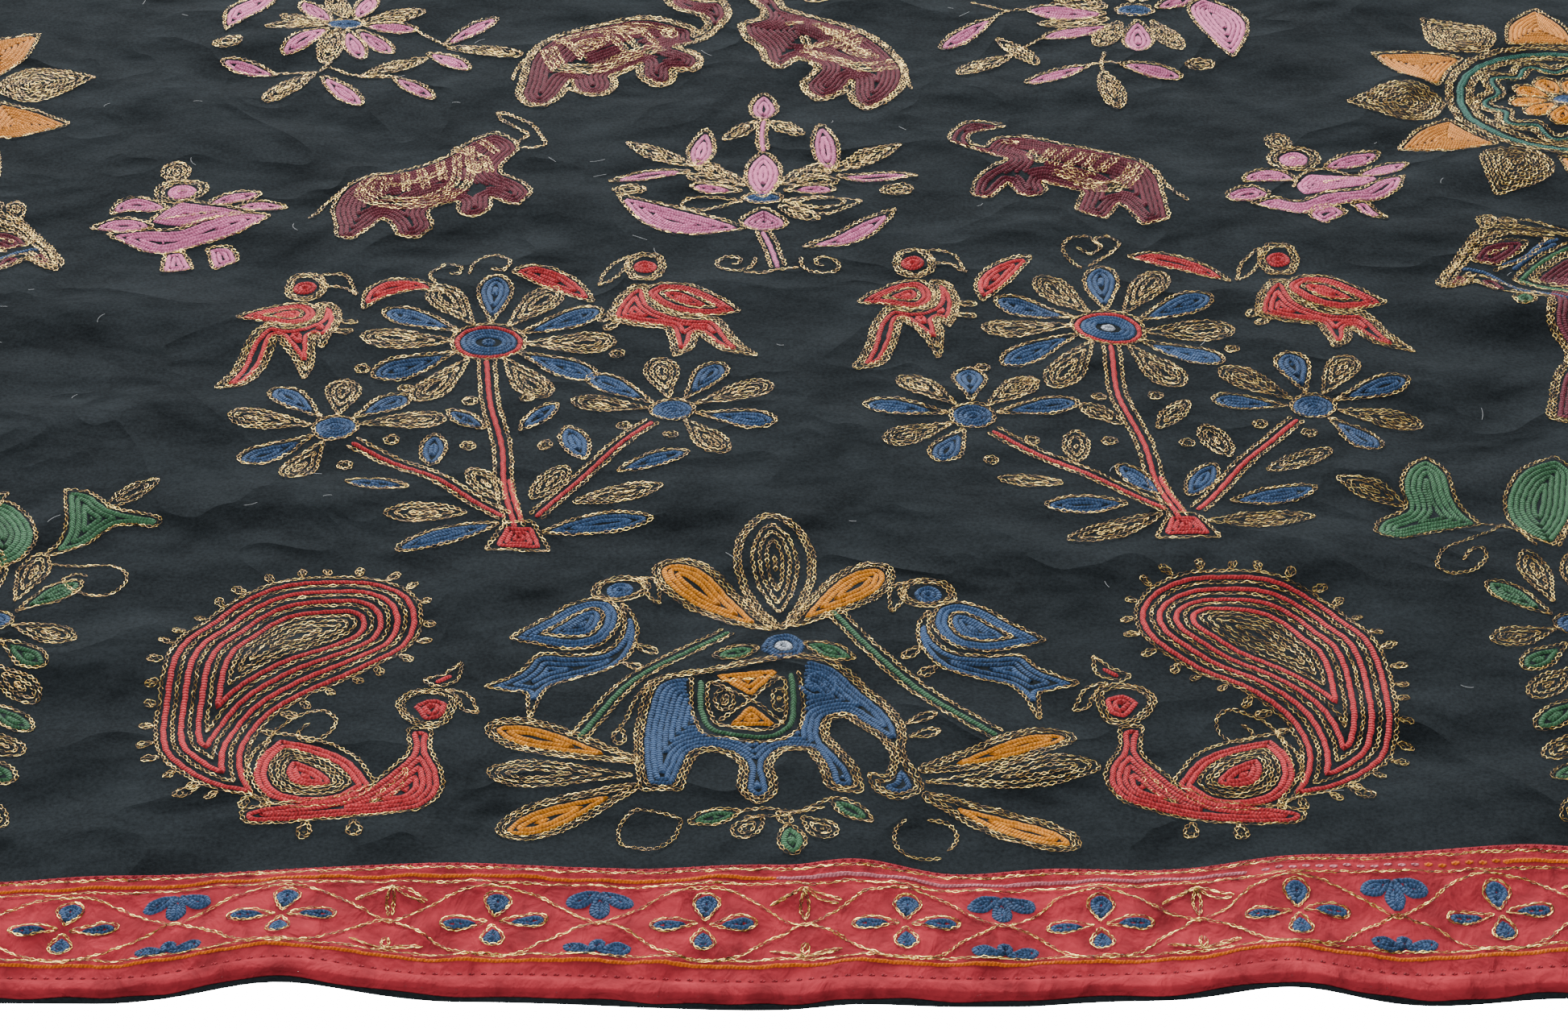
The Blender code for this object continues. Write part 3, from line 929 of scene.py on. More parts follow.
def pink_plant():
    """Draws the pink plant between the maroon elephants."""
    lines = filled(petal((0, 0), (0, 54), 19, belly=0.5), "pink")
    lines += filled(petal((0, 86), (0, 123), 15, belly=0.42), "pink")
    lines += stem([(0, 56), (-1, 70), (0, 86)], "pink", 2.4)
    half = gold_filled(leaf((-3, 84), (-22, 68), 9)) + filled(petal((-10, 8), (-38, 13), 11), "pink")
    half += gold_filled(petal((-9, 14), (-40, 24), 11)) + gold_filled(petal((-14, 18), (-36, 40), 12))
    half += stroke("gold", [(-6, 12), (-22, 32), (-36, 32)])
    half += filled(petal((-35, 34), (-31, 80), 14, belly=0.45), "pink")
    half += gold_filled(leaf((-37, 34), (-74, 62), 12))
    half += filled(leaf((-38, 29), (-82, 21), 9), "pink", start=2.0)
    half += gold_filled(oval((-70, 9), 17, 10)) + edged(petal((-10, -3), (-43, -6), 13))
    lines += half + placed(half, (0, 0), mirrored=True)
    lines += filled(leaf((-8, -31), (-76, 2), 26, bend=0.12), "pink")
    lines += filled(leaf((20, -53), (69, -11), 13, bend=-0.08), "pink")
    lines += edged(leaf((14, -6), (52, -4), 17, bend=-0.1)) + gold_filled(leaf((8, -8), (30, -22), 9))
    lines += filled(petal((0, -10), (1, -34), 24, belly=0.6), "pink")
    lines += stem([(0, -34), (4, -50), (8, -71)], "pink", 3.4)
    lines += stroke("gold", [(-9, -76), (0, -77), (8, -74), (18, -73)])
    for middle, start, hand in (((-15, -64), 20, -1), ((31, -68), 160, 1)):
        lines.append(Line("gold", curl(middle, 12, 1.3, start, hand), False))
    return lines + flower_eye((0, 0), (21, 11), (20, 10), 1.6, 2.3)


def maroon_elephant():
    """Draws a maroon elephant with gold trappings, trunk raised, facing right."""
    body = outline([
        (-41, -53), (-39, -65), (-31, -68), (-25, -57), (-18, -44), (-13, -50), (-8, -61), (2, -62),
        (8, -51), (5, -37), (11, -31), (20, -27), (22, -40), (28, -42), (36, -36), (36, -22), (43, -28),
        (51, -32), (57, -20), (52, -7), (39, 6), (43, 22), (47, 34), (42, 46), (33, 53), (22, 44),
        (10, 26), (-4, 14), (-17, 5), (-30, -1), (-40, -13), (-45, -32)])
    lines = filled(body, "maroon")
    lines += gold_bars([[(-24, 0), (-27, -18), (-14, -27), (4, -24), (14, -12), (15, 26)],
                        [(-29, -2), (-32, -22), (-16, -33), (6, -30), (20, -16), (21, 36)]])
    lines += gold_bars([[(-19, -2), (-20, -18)], [(-11, 6), (-8, -18)], [(-3, 11), (2, -14)],
                        [(6, 20), (10, -4)], [(-16, -12), (-2, -4), (10, 8)],
                        [(12, 34), (30, 20), (34, 4)], [(26, 44), (36, 28)]])
    lines += gold_filled(oval((27, 10), 9, 13))
    lines += stroke("gold", [(46, 34), (56, 34), (62, 38), (55, 57), (33, 79), (35, 70), (52, 50), (46, 40)])
    lines += stroke("gold", [(-40, -13), (-48, -26), (-56, -44)])
    return lines


def trunk_down_elephant():
    """Draws the other maroon elephant, its trunk curled up before it, facing left."""
    body = outline([
        (-43, 41), (-35, 43), (-8, 31), (19, 19), (32, 11), (39, -3), (41, -25), (42, -48), (28, -53),
        (18, -30), (9, -49), (-6, -40), (0, -17), (-21, -7), (-19, -16), (-26, -21), (-33, -19), (-39, -7),
        (-49, -23), (-59, -21), (-56, -7), (-38, 14), (-49, 23), (-69, 36), (-65, 50), (-56, 62),
        (-36, 58), (-51, 50), (-58, 43), (-57, 34), (-49, 30)])
    lines = filled(body, "maroon", start=2.4)
    lines += gold_bars([[(-15, 1), (4, -9), (17, -9), (24, -2), (28, 9)],
                        [(-4, -8), (12, -17), (21, -14), (32, 4)]])
    lines += gold_bars([[(-23, 24), (-26, 17), (-21, 10), (-13, 25)], [(-4, 25), (-15, 7)],
                        [(4, 20), (-8, 4), (2, -4)], [(10, 18), (2, 4), (8, -1)], [(20, 15), (10, 2)],
                        [(-40, 38), (-32, 34)]])
    lines += stroke("gold", [(32, 11), (39, 1), (44, -15), (53, -31)])
    return lines


def lotus(side):
    """Draws the pink lotus on its boat-shaped leaves as it is on the left or on the right."""
    if side == "right":
        lines = gold_filled(outline([(-21, 50), (-20, 59), (-16, 62), (-10, 58), (-9, 48), (-16, 44)]))
        core = (-9, 34)
        leaves = (
            outline([(-39, 9), (-36, 17), (-23, 23), (-13, 16), (-10, 9), (-23, 9)]),
            petal((6, 24), (38, 42), 13, belly=0.5),
            petal((23, 13), (51, 30), 13, belly=0.5),
            outline([(-49, -7), (-44, 0), (-33, 4), (-25, -5), (-35, -12), (-46, -13)]),
            outline([
                (-37, -16), (-25, -22), (-13, -27), (0, -23), (16, -18), (28, -17), (40, -7), (46, 10),
                (33, 5), (22, -6), (1, -9), (-12, -15), (-24, -10)]),
            outline([(-8, -27), (-3, -21), (6, -21), (11, -29), (5, -33), (-2, -41)]),
            outline([(14, -19), (22, -19), (26, -26), (31, -35), (21, -31)]))
        mass = outline([(-11, 0), (-4, 16), (12, 13), (33, 9), (23, -1), (10, -4), (-8, -8)])
        upper = [(-13, 0), (-7, 16), (5, 22), (17, 15), (29, 12)]
        folds = ([(3, 3), (16, 9), (28, 11)],)
    else:
        lines = gold_filled(oval((-17, 37), 14, 21))
        core = (-11, 15)
        leaves = (
            outline([(-45, -9), (-42, 3), (-34, 8), (-24, 5), (-15, -4), (-23, -7), (-34, -6)]),
            petal((5, -2), (31, 14), 11, belly=0.5),
            petal((20, -6), (46, -1), 11, belly=0.5, bend=0.08),
            outline([(-53, -24), (-43, -15), (-28, -16), (-20, -23), (-32, -28)]),
            outline([
                (-43, -30), (-33, -38), (-14, -47), (7, -40), (21, -35), (34, -22), (39, -12), (22, -12),
                (6, -20), (-8, -27), (-21, -26)]),
            outline([(-11, -47), (-2, -45), (6, -64), (-10, -67)]),
            outline([(10, -44), (21, -44), (28, -57), (16, -65)]))
        mass = outline([(-22, -18), (-16, -6), (-9, 2), (3, -3), (13, -6), (28, -11), (12, -17), (-5, -23)])
        upper = [(-24, -20), (-16, -5), (-8, 4), (4, -1), (14, -4), (30, -10)]
        folds = ([(-20, -17), (-2, -14), (14, -11)], [(-6, -23), (10, -18), (26, -13)])
    for shape in leaves:
        lines += filled(shape, "pink", start=2.2)
    lines += rows_inside(mass, "pink", 1.2, 2.5) + stroke("gold", upper)
    for points in folds:
        lines += stroke("gold", points)
    lines += edged(oval(core, 27, 26)) + edged(oval(core, 20, 20))
    lines += rows_inside(oval(core, 15, 16), "pink", 1.2, 2.4)
    return lines + stroke("gold", [(core[0] - 2, core[1]), (core[0] + 3, core[1] + 1)])


def flower_spray(side):
    """Draws the pink and gold spray of the middle row, as it is on the left or on the right."""
    if side == "left":
        eye = (0, 0)
        great = leaf((-40, 50), (-66, -13), 18, bend=-0.08)
        petals = (
            ((-9, -4), (-38, 12), 12, "gold"), ((-8, 2), (-28, 34), 13, "pink"),
            ((0, 8), (-12, 42), 12, "gold"), ((6, 7), (12, 42), 13, "pink"),
            ((9, 2), (44, 18), 13, "gold"), ((10, -2), (42, -4), 12, "pink"),
            ((8, -8), (30, -34), 13, "pink"), ((-8, -8), (-30, -42), 14, "pink"),
            ((-2, -9), (-6, -52), 13, "gold"), ((2, -9), (14, -46), 12, "pink"),
            ((-10, -2), (-44, -10), 12, "gold"), ((-31, -62), (-64, -45), 12, "pink"),
            ((-10, -62), (-35, -95), 12, "gold"), ((-6, -66), (20, -104), 12, "pink"),
            ((16, -70), (50, -40), 13, "gold"), ((34, -68), (58, -94), 11, "pink"),
            ((58, -23), (86, 12), 11, "pink"), ((60, -26), (104, -42), 12, "gold"),
            ((50, -32), (75, -58), 12, "pink"))
        stems = ([(-2, -50), (-8, -62), (-34, -60)], [(-4, -56), (14, -68), (36, -68)],
                 [(40, -4), (50, -14), (60, -24)])
        ring = (-63, -27)
    else:
        eye = (-3, 16)
        great = outline([(30, 26), (38, 35), (52, 24), (60, 0), (56, -24), (47, -48), (38, -26), (31, 2)])
        petals = (
            ((-19, 12), (-64, 20), 17, "pink"), ((-18, 4), (-60, 0), 12, "gold"),
            ((-18, -3), (-58, -21), 14, "pink"), ((-2, 4), (-5, -38), 17, "pink"),
            ((6, 4), (19, -37), 12, "gold"), ((-12, 2), (-28, -31), 13, "gold"),
            ((9, 19), (32, 34), 11, "pink"), ((-18, 20), (-50, 38), 17, "gold"),
            ((-3, 26), (-12, 62), 15, "pink"), ((2, 26), (16, 60), 14, "gold"),
            ((-84, 4), (-116, -32), 12, "pink"), ((-76, -41), (-108, -66), 12, "gold"),
            ((-84, -20), (-62, -54), 9, "gold"), ((-33, -54), (-71, -77), 11, "pink"),
            ((-27, -62), (-21, -104), 13, "gold"), ((-17, -54), (17, -67), 13, "pink"))
        stems = ([(-62, 20), (-76, 16), (-84, 4)], [(-76, 16), (-96, 26)],
                 [(-56, -20), (-66, -30), (-76, -41)], [(-24, -38), (-27, -52), (-27, -62)],
                 [(-33, -54), (-27, -52), (-17, -54)])
        ring = (28, -54)
    lines = filled(great, "pink") + worked_petals(petals, belly=0.58, blunt=0.62, pitch=2.7, start=2.3)
    for points in stems:
        lines += stroke("gold", points)
    lines += gold_filled(oval(ring, 16, 11))
    return lines + flower_eye(eye, (22, 14), (21, 13), 1.6, 2.3)


def striding_elephant(side):
    """Draws a maroon elephant of the middle row: the left one faces right, the right one left."""
    if side == "left":
        body = outline([
            (-46, -28), (-47, -44), (-43, -53), (-35, -58), (-29, -49), (-21, -23), (-17, -38), (-10, -44),
            (-2, -41), (2, -28), (0, -19), (18, -7), (19, -21), (26, -29), (33, -26), (34, -14), (47, -14),
            (49, -2), (34, 12), (46, 24), (56, 38), (64, 56), (61, 72), (50, 72), (35, 86), (31, 74),
            (39, 60), (52, 54), (55, 45), (45, 29), (44, 40), (36, 44), (8, 51), (-9, 43), (-34, 22),
            (-43, 3)])
        bars = ([(-33, 12), (-27, -8), (-10, -7), (11, 6), (27, 15)],
                [(-38, 8), (-31, -14), (-8, -13), (14, 0), (30, 9)], [(-27, 20), (-15, 1)],
                [(-6, 36), (8, 9)], [(2, 40), (14, 13)], [(16, 38), (25, 18)],
                [(-32, 18), (-8, 36), (10, 44), (34, 38)])
        clusters = (oval((-12, 16), 22, 12, turn=35), oval((9, 35), 18, 9, turn=10), oval((32, 34), 8, 10))
        tail = [(-40, 10), (-51, -14), (-53, -27)]
    else:
        body = outline([
            (-64, 43), (-63, 33), (-52, 13), (-50, 0), (-43, -12), (-34, 3), (-21, -14), (-29, -31),
            (-22, -46), (-10, -40), (-3, -28), (-1, -51), (4, -58), (14, -51), (25, -18), (18, 10),
            (-5, 42), (-29, 56), (-41, 62), (-46, 76), (-56, 92), (-66, 86), (-58, 74), (-51, 58),
            (-52, 48)])
        bars = ([(-30, 26), (-27, 14), (-12, 22), (0, 36)], [(-31, 12), (-16, 1), (0, -11), (20, -2)],
                [(-27, 4), (-12, -7), (2, -18), (22, -10)], [(-12, 14), (4, 26)], [(-40, 40), (-30, 42)],
                [(-18, 40), (-6, 24), (6, 4)], [(-24, 44), (-10, 26)])
        clusters = (oval((2, 8), 22, 11, turn=-35), oval((-13, 33), 12, 8))
        tail = [(21, 6), (26, -18), (29, -38)]
    lines = edged(body, 2) + rows_inside(body, "maroon", 2.6, FLOSS_PITCH) + gold_bars(bars)
    for cluster in clusters:
        lines += gold_filled(cluster)
    return lines + stroke("gold", tail)


def blazing_sun():
    """Draws the great sun flower at the side of the middle row."""
    lines = []
    spread = ((-0.29, 70), (-0.02, 69), (0.29, 70), (0.17, 90), (-0.05, 116), (-0.20, 90))
    for number in range(12):
        angle = 182.0 + 30.0 * number
        if number % 2 == 0:
            way = heading(angle)
            lines += gold_filled(petal(68 * way, 122 * way, 38, belly=0.36, blunt=1.15))
        else:
            places = [reach * heading(angle + math.degrees(turn)) for turn, reach in spread]
            lines += filled(outline(places), "peach", pitch=2.5)
    disc = oval((0, 0), 132, 132)
    lines += edged(disc) + edged(oval((0, 0), 127, 127))
    lines += [Line("teal", oval((0, 0), 118.5, 118.5), True), Line("teal", oval((0, 0), 115.5, 115.5), True)]
    lines += edged(oval((0, 0), 109, 109)) + edged(oval((0, 0), 104, 104))
    angle = np.linspace(0.0, 2.0 * math.pi, 181)[:-1]
    reach = 41.5 + 4.0 * np.cos(10.0 * angle)
    wavy = outline(np.column_stack([reach * np.cos(angle), reach * np.sin(angle)]), smooth=False)
    lines += [Line("teal", wavy, True)]
    for distance in (3.0, -3.0, -5.2):
        lines += row_inside(wavy, "gold", distance)
    for number in range(10):
        way = heading(36.0 * number)
        lines += filled(petal(9 * way, 32 * way, 15, belly=0.62, blunt=0.6), "orange", start=2.3)
    return lines + flower_eye((0, 0), (18, 18), (18, 18), 2.2)


def saddled_horse():
    """Draws the maroon horse with its blue bridle and patterned saddle cloth, facing left."""
    body = outline([
        (-61, -1), (-57, 9), (-49, 23), (-40, 38), (-32, 49), (-17, 56), (9, 53), (22, 47), (48, 44),
        (80, 42), (98, 30), (104, 4), (102, -40), (108, -90), (104, -128), (92, -130), (90, -92),
        (84, -60), (50, -60), (20, -62), (10, -92), (2, -128), (-19, -130), (-28, -126), (-18, -90),
        (-8, -66), (-13, -42), (-9, -22), (-24, -13), (-34, -6), (-42, 4), (-48, -1), (-58, -7)])
    face = outline([(-66, -12), (-58, 30), (-34, 66), (24, 62), (6, 22), (-6, -12), (-16, -26), (-40, -16)])
    cloth = outline([
        (-22, 6), (-10, 22), (3, 35), (16, 44), (60, 42), (84, 18), (64, -26), (20, -24), (-6, -8)])
    lines = double_edged(body)
    lines += cut_out(cut_out(rows_inside(body, "maroon", 5.4, 2.7, most=5), face), cloth)
    lines += gold_bars([[(-56, 0), (-49, 15), (-40, 29), (-31, 41), (-16, 49), (6, 47)],
                        [(-58, -4), (-47, 4), (-41, 12)]])
    lines += edged(cloth) + rows_inside(cloth, "green", 3.0, 2.4, most=1)
    lines += rows_inside(cloth, "gold", 6.0, GOLD_PITCH, most=2)
    lines += rows_inside(cloth, "maroon", 11.0, 2.6, most=4) + rows_inside(cloth, "gold", 21.4, 2.6, most=2)
    lines += rows_inside(cloth, "blue", 27.0, 2.6)
    cheek = outline([(-40, 24), (-32, 36), (-20, 41), (-8, 42), (-15, 31), (-28, 19)])
    lines += filled(cheek, "maroon", start=2.2) + stroke("gold", [(-31, 29), (-24, 32), (-18, 36)])
    lines += rows_inside(outline([(-55, 0), (-49, 11), (-44, 7), (-50, 0)]), "maroon", 1.0, 2.4)
    lines += rows_inside(outline([(-38, 6), (-33, 6), (-27, -6), (-33, -3)]), "maroon", 0.9, 2.4)
    lines += stroke("gold", [(-52, 14), (-44, 28), (-34, 42), (-22, 48), (-4, 49)])
    lines += stroke("gold", [(-47, 9), (-38, 10), (-30, 4), (-22, -4), (-12, -16)])
    lines += stroke("gold", [(-30, 14), (-24, 18), (-14, 24), (-4, 36), (2, 46)])
    lines += stroke("blue", [(-46, 18), (-36, 14), (-27, 4), (-18, -8), (-4, -18), (8, -24)])
    lines += stroke("blue", [(-25, 20), (-13, 27), (-2, 40), (8, 47)])
    lines += stroke("blue", [(-20, 16), (-8, 30), (6, 42)])
    lines += gold_filled(petal((-31, 50), (-24, 67), 9)) + gold_filled(petal((-13, 55), (-17, 66), 9))
    lines += stroke("gold", [(-17, 60), (-6, 64), (8, 58), (24, 50)])
    lines += filled(petal((-19, -13), (-23, -29), 11, belly=0.6), "green", start=2.3)
    lines += stroke("gold", [(102, 34), (118, 18), (116, -20), (124, -44)])
    return lines


def small_sprig():
    """Draws a plain three-leaved sprig that fills a space near the side border."""
    angles = ((90, "pink"), (35, "gold"), (145, "gold"), (-15, "green"), (195, "green"))
    petals = [(7 * heading(angle), 38 * heading(angle), 13, thread) for angle, thread in angles]
    lines = worked_petals(petals, start=2.3) + stem([(0, -8), (2, -22), (-3, -42)], "green")
    return lines + flower_eye((0, 0), (12, 12), (12, 12), 2.2)


# Rows of motifs, each placed by its middle across and up from the bottom edge


def lowest_row(drop=0):
    """Lists the stitch lines of the lowest row, with its tall plants and upper sprigs lowered by drop."""
    lines = elephant_group()
    peacock = paisley_peacock()
    lines += placed(peacock, (-205, 194)) + placed(peacock, (201, 196), mirrored=True, turn=-1.5)
    lines += placed(corner_plant("left"), (-338, 244 - drop), mirrored=True)
    lines += placed(corner_plant("right"), (340, 244 - drop))
    for side in (-1, 1):
        lines += placed(small_sprig(), (side * 478, 128))
        lines += placed(small_sprig(), (side * 505, 300 - drop / 2))
    return lines


def tree_row():
    """Lists the stitch lines of the two trees and of the plain sprigs beside them."""
    lines = placed(tree_with_birds("left"), (-118, 314)) + placed(tree_with_birds("right"), (181, 318))
    return lines + placed(small_sprig(), (-462, 420)) + placed(small_sprig(), (417, 436))


def third_row(horses=True):
    """Lists the stitch lines of the pink plant, its elephants, the lotuses and the horses."""
    lines = placed(pink_plant(), (-10, 627)) + placed(maroon_elephant(), (-188, 649))
    lines += placed(trunk_down_elephant(), (158, 655))
    lines += placed(lotus("right"), (281, 638)) + placed(lotus("left"), (-303, 620))
    if horses:
        lines += placed(saddled_horse(), (389, 539)) + placed(saddled_horse(), (-424, 556), mirrored=True)
    return lines


def middle_row():
    """Lists the stitch lines of the sprays, the striding elephants and the suns."""
    lines = placed(flower_spray("left"), (-249, 833)) + placed(flower_spray("right"), (205, 836))
    lines += placed(striding_elephant("left"), (-96, 790)) + placed(striding_elephant("right"), (42, 790))
    lines += placed(blazing_sun(), (430, 739)) + placed(blazing_sun(), (-498, 735), mirrored=True, turn=17)
    return lines


# The border's pattern, in millimetres along a side and in from its outer edge


BORDER_FLOWERS = (-600, -520, -440, -360, -276, -192, -111, -30, 48, 123, 199, 278, 357, 436, 515, 594)
INNER_LINE = 74.0
INNER_YARN = 69.6
UPPER_LINE = 65.5
FLOWER_LINE = 43.0
LOWER_LINE = 23.5
OUTER_YARN = 20.8

# Running stitches: how far in from the edge, how far apart and how long
INNER_SEAM = (76.6, 3.7, 2.2)
HEM_SEAM = (13.4, 4.6, 2.2)


def border_flower(middle):
    """Draws a four-petalled blue flower with gold round each petal."""
    lines = []
    for tip, width in (((21, 1), 7.4), ((-21, -1), 7.4), ((1.5, 18), 10.5), ((0, -15), 9.2)):
        shape = petal((tip[0] * 0.08, tip[1] * 0.08), tip, width, belly=0.68, blunt=0.62)
        lines += edged(shape) + rows_inside(shape, "blue", 1.9, 1.8)
    return placed(lines, (middle, FLOWER_LINE))


def border_leaf(middle, height, reach, thread):
    """Draws three lobes that spread from a border line, in floss or as a gold sprig."""
    lines = []
    for tip, width in (((0, reach * 17), 7.5), ((-13, reach * 9), 8), ((13, reach * 9), 8)):
        shape = petal((0, reach * 1.0), tip, width * min(1.0, 0.4 + abs(reach)), belly=0.62)
        if thread == "blue":
            lines += rows_inside(shape, "blue", 0.8, 1.8)
        else:
            across, up = tip
            lines += stroke("gold", [(0, 0), (across * 0.5 - 1.5, up * 0.6), tip])
            lines += stroke("gold", [(0, 0), (across * 0.5 + 1.5, up * 0.4), (across + 1, up - reach)])
    return placed(lines, (middle, height))


def straight(thread, start, end, height):
    """Runs one row of a thread straight along a side."""
    return Line(thread, even_line(np.array([(start, height), (end, height)]), 0.8, False), False)


def border_pattern(reach, flowers):
    """Lists the lines of one side's pattern, reach being half the length that it covers."""
    lines = [straight("gold", -reach, reach, height) for height in (INNER_LINE, UPPER_LINE, LOWER_LINE)]
    for start, end, thread in ((-reach, -2, "tangerine"), (-2, 182, "lilac"), (284, reach, "tangerine")):
        lines.append(straight(thread, start, end, INNER_YARN))
    lines.append(straight("tangerine", -reach, reach, OUTER_YARN))
    middles = np.array(flowers, float)
    for number, middle in enumerate(middles):
        before = middle - 40.0 if number == 0 else (middles[number - 1] + middle) / 2
        after = middle + 40.0 if number == len(middles) - 1 else (middle + middles[number + 1]) / 2
        for way in (1.0, -1.0):
            crossing, waist = FLOWER_LINE - way, FLOWER_LINE + way * 7
            top = FLOWER_LINE + way * 20.5
            shoulder = top - way * 3
            lines += stroke("gold", [(before, crossing), (before + 13, waist), (middle - 13, shoulder),
                                     (middle, top), (middle + 13, shoulder), (after - 13, waist),
                                     (after, crossing)])
        lines += border_flower(middle)
        thread = "blue" if number % 2 == 0 else "gold"
        lines += border_leaf(after, UPPER_LINE - 2.5, -1, thread)
        lines += border_leaf(after, LOWER_LINE + 1.5, 0.45, thread)
    return lines


def dashes(seam, reach):
    """Lists the running stitches of a seam along a side."""
    height, pitch, length = seam
    lines = []
    for start in np.arange(-reach, reach, pitch):
        points = np.array([(start, height), (start + length / 2, height + 0.15), (start + length, height)])
        lines.append(Line("red", points, False))
    return lines


def sewn_sides(sides):
    """Lists the pattern of the strips named, on the even cloth, in metres about its middle."""
    half_width, half_length = WIDTH / 2 / MM, LENGTH / 2 / MM
    inner = half_length - STRIP_WIDTH / MM
    sewn = []
    for side in sides:
        if side in ("bottom", "top"):
            lines = border_pattern(half_width - 6, BORDER_FLOWERS) + knots()
            lines += dashes(INNER_SEAM, half_width - 78) + dashes(HEM_SEAM, half_width - 14)
            far = half_length
        else:
            lines = border_pattern(inner - 2, tuple(np.arange(-9, 10) * 78.0))
            lines += dashes(INNER_SEAM, inner) + dashes(HEM_SEAM, inner)
            far = half_width
        for line in lines:
            along, up = line.points[:, 0], line.points[:, 1] - far
            places = {"bottom": (along, up), "top": (-along, -up),
                      "left": (up, -along), "right": (-up, along)}
            u, v = places[side]
            sewn.append(Line(line.thread, np.column_stack([u, v]) * MM, line.closed))
    return sewn


def knots():
    """Lists the short thick stitches that take the place of the couched yarn for part of its way."""
    lines = []
    for number, start in enumerate(np.arange(188, 282, 5.4)):
        thread = "lilac" if start < 252 else "tangerine"
        height = INNER_YARN + 0.5 * math.sin(2.3 * number)
        points = np.array([(start, height), (start + 1.6, height), (start + 3.2, height)])
        lines.append(Line(thread, points, False))
    return lines


# Meshes


def joined_mesh(name, points, faces, values):
    """Makes one mesh of many small like things from arrays, with a value on each of its points."""
    mesh = bpy.data.meshes.new(name)
    mesh.vertices.add(len(points))
    mesh.vertices.foreach_set("co", points.ravel())
    mesh.loops.add(faces.size)
    mesh.loops.foreach_set("vertex_index", faces.ravel())
    mesh.polygons.add(len(faces))
    mesh.polygons.foreach_set("loop_start", np.arange(len(faces)) * faces.shape[1])
    for attribute, numbers in values.items():
        mesh.attributes.new(attribute, "FLOAT", "POINT").data.foreach_set("value", numbers.ravel())
    mesh.update(calc_edges=True)
    return mesh


def add_piece(name, mesh):
    """Puts a finished mesh in the scene as a piece that lies with the hanging."""
    piece = bpy.data.objects.new(name, mesh)
    bpy.context.scene.collection.objects.link(piece)
    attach(piece, "root")
    return piece


def hand_sway(points, closed, random, amount):
    """Moves the points of a line a little to either side, as a hand does."""
    turns = max(1, round(len(points) / 6)) if closed else len(points) / 6
    phase = 2.0 * math.pi * turns * np.arange(len(points)) / len(points)
    broad = np.sin(phase + random.uniform(0, 6.28))
    narrow = np.sin(2 * phase + random.uniform(0, 6.28))
    sway = amount * (broad + 0.6 * narrow)
    return points + sway[:, None] * left_of(np.gradient(points, axis=0))


def chain_mesh(name, lines, lay, coarse, loft, build, random):
    """Makes gold chain stitches along lines: open links of two bowed strands each."""
    sizes = bpy.context.scene.hanging_thread
    stout, slim = build
    starts, ends = [], []
    for line in lines:
        points = even_line(line.points, sizes.link_length * coarse, line.closed)
        if len(points) > 3:
            points = hand_sway(points, line.closed, random, GOLD_SWAY)
        starts.append(points if line.closed else points[:-1])
        ends.append(np.roll(points, -1, axis=0) if line.closed else points[1:])
    start, end = np.vstack(starts), np.vstack(ends)
    count = len(start)
    start = start + random.normal(0.0, 0.00012, (count, 2))
    forward = end - start
    sideways = left_of(forward)
    width = slim * sizes.link_width * coarse ** 0.5 * random.uniform(0.75, 1.2, count)
    share = np.array((-0.04, 0.45, 1.10))
    bow = np.array((0.10, 1.0, 0.16))
    hand = np.array((1.0, -1.0))
    edge = np.array((0.5, -0.5))
    thread = sizes.gold_thickness * stout * coarse ** 0.5
    middle = start[:, None, None, None] + forward[:, None, None, None] * share[None, None, :, None, None]
    across = (hand[None, :, None, None] * (bow[None, None, :, None] * width[:, None, None, None] / 2
                                           + edge[None, None, None, :] * thread))
    points = middle + across[..., None] * sideways[:, None, None, None]
    high = loft * random.uniform(0.65, 1.35, (count, 2, 1, 1)) * np.array((0.8, 1.0, 0.9))[:, None]
    slope = thread * random.uniform(-0.42, 0.42, (count, 2, 1, 1))
    rise = high + np.concatenate([-0.5 * slope, 0.5 * slope], axis=3)
    solid = lay(points)
    solid[..., 2] += np.maximum(rise, 0.0001)
    quads = []
    for strand, order in ((0, ((0, 1), (1, 1), (1, 0), (0, 0))), (1, ((0, 0), (1, 0), (1, 1), (0, 1)))):
        for station in (0, 1):
            quads.append([strand * 6 + (station + step) * 2 + side for step, side in order])
    faces = (np.arange(count)[:, None, None] * 12 + np.array(quads)[None]).reshape(-1, 4)
    # A random share for each strand of how bright a painted spark of highlight its colour gets
    glint = np.repeat(random.uniform(0.0, 1.0, (count, 2)), 6, axis=1)
    rim = np.tile(hand, (count, 6))
    return joined_mesh(name, solid.reshape(-1, 3), faces, {"glint": glint, "rim": rim})


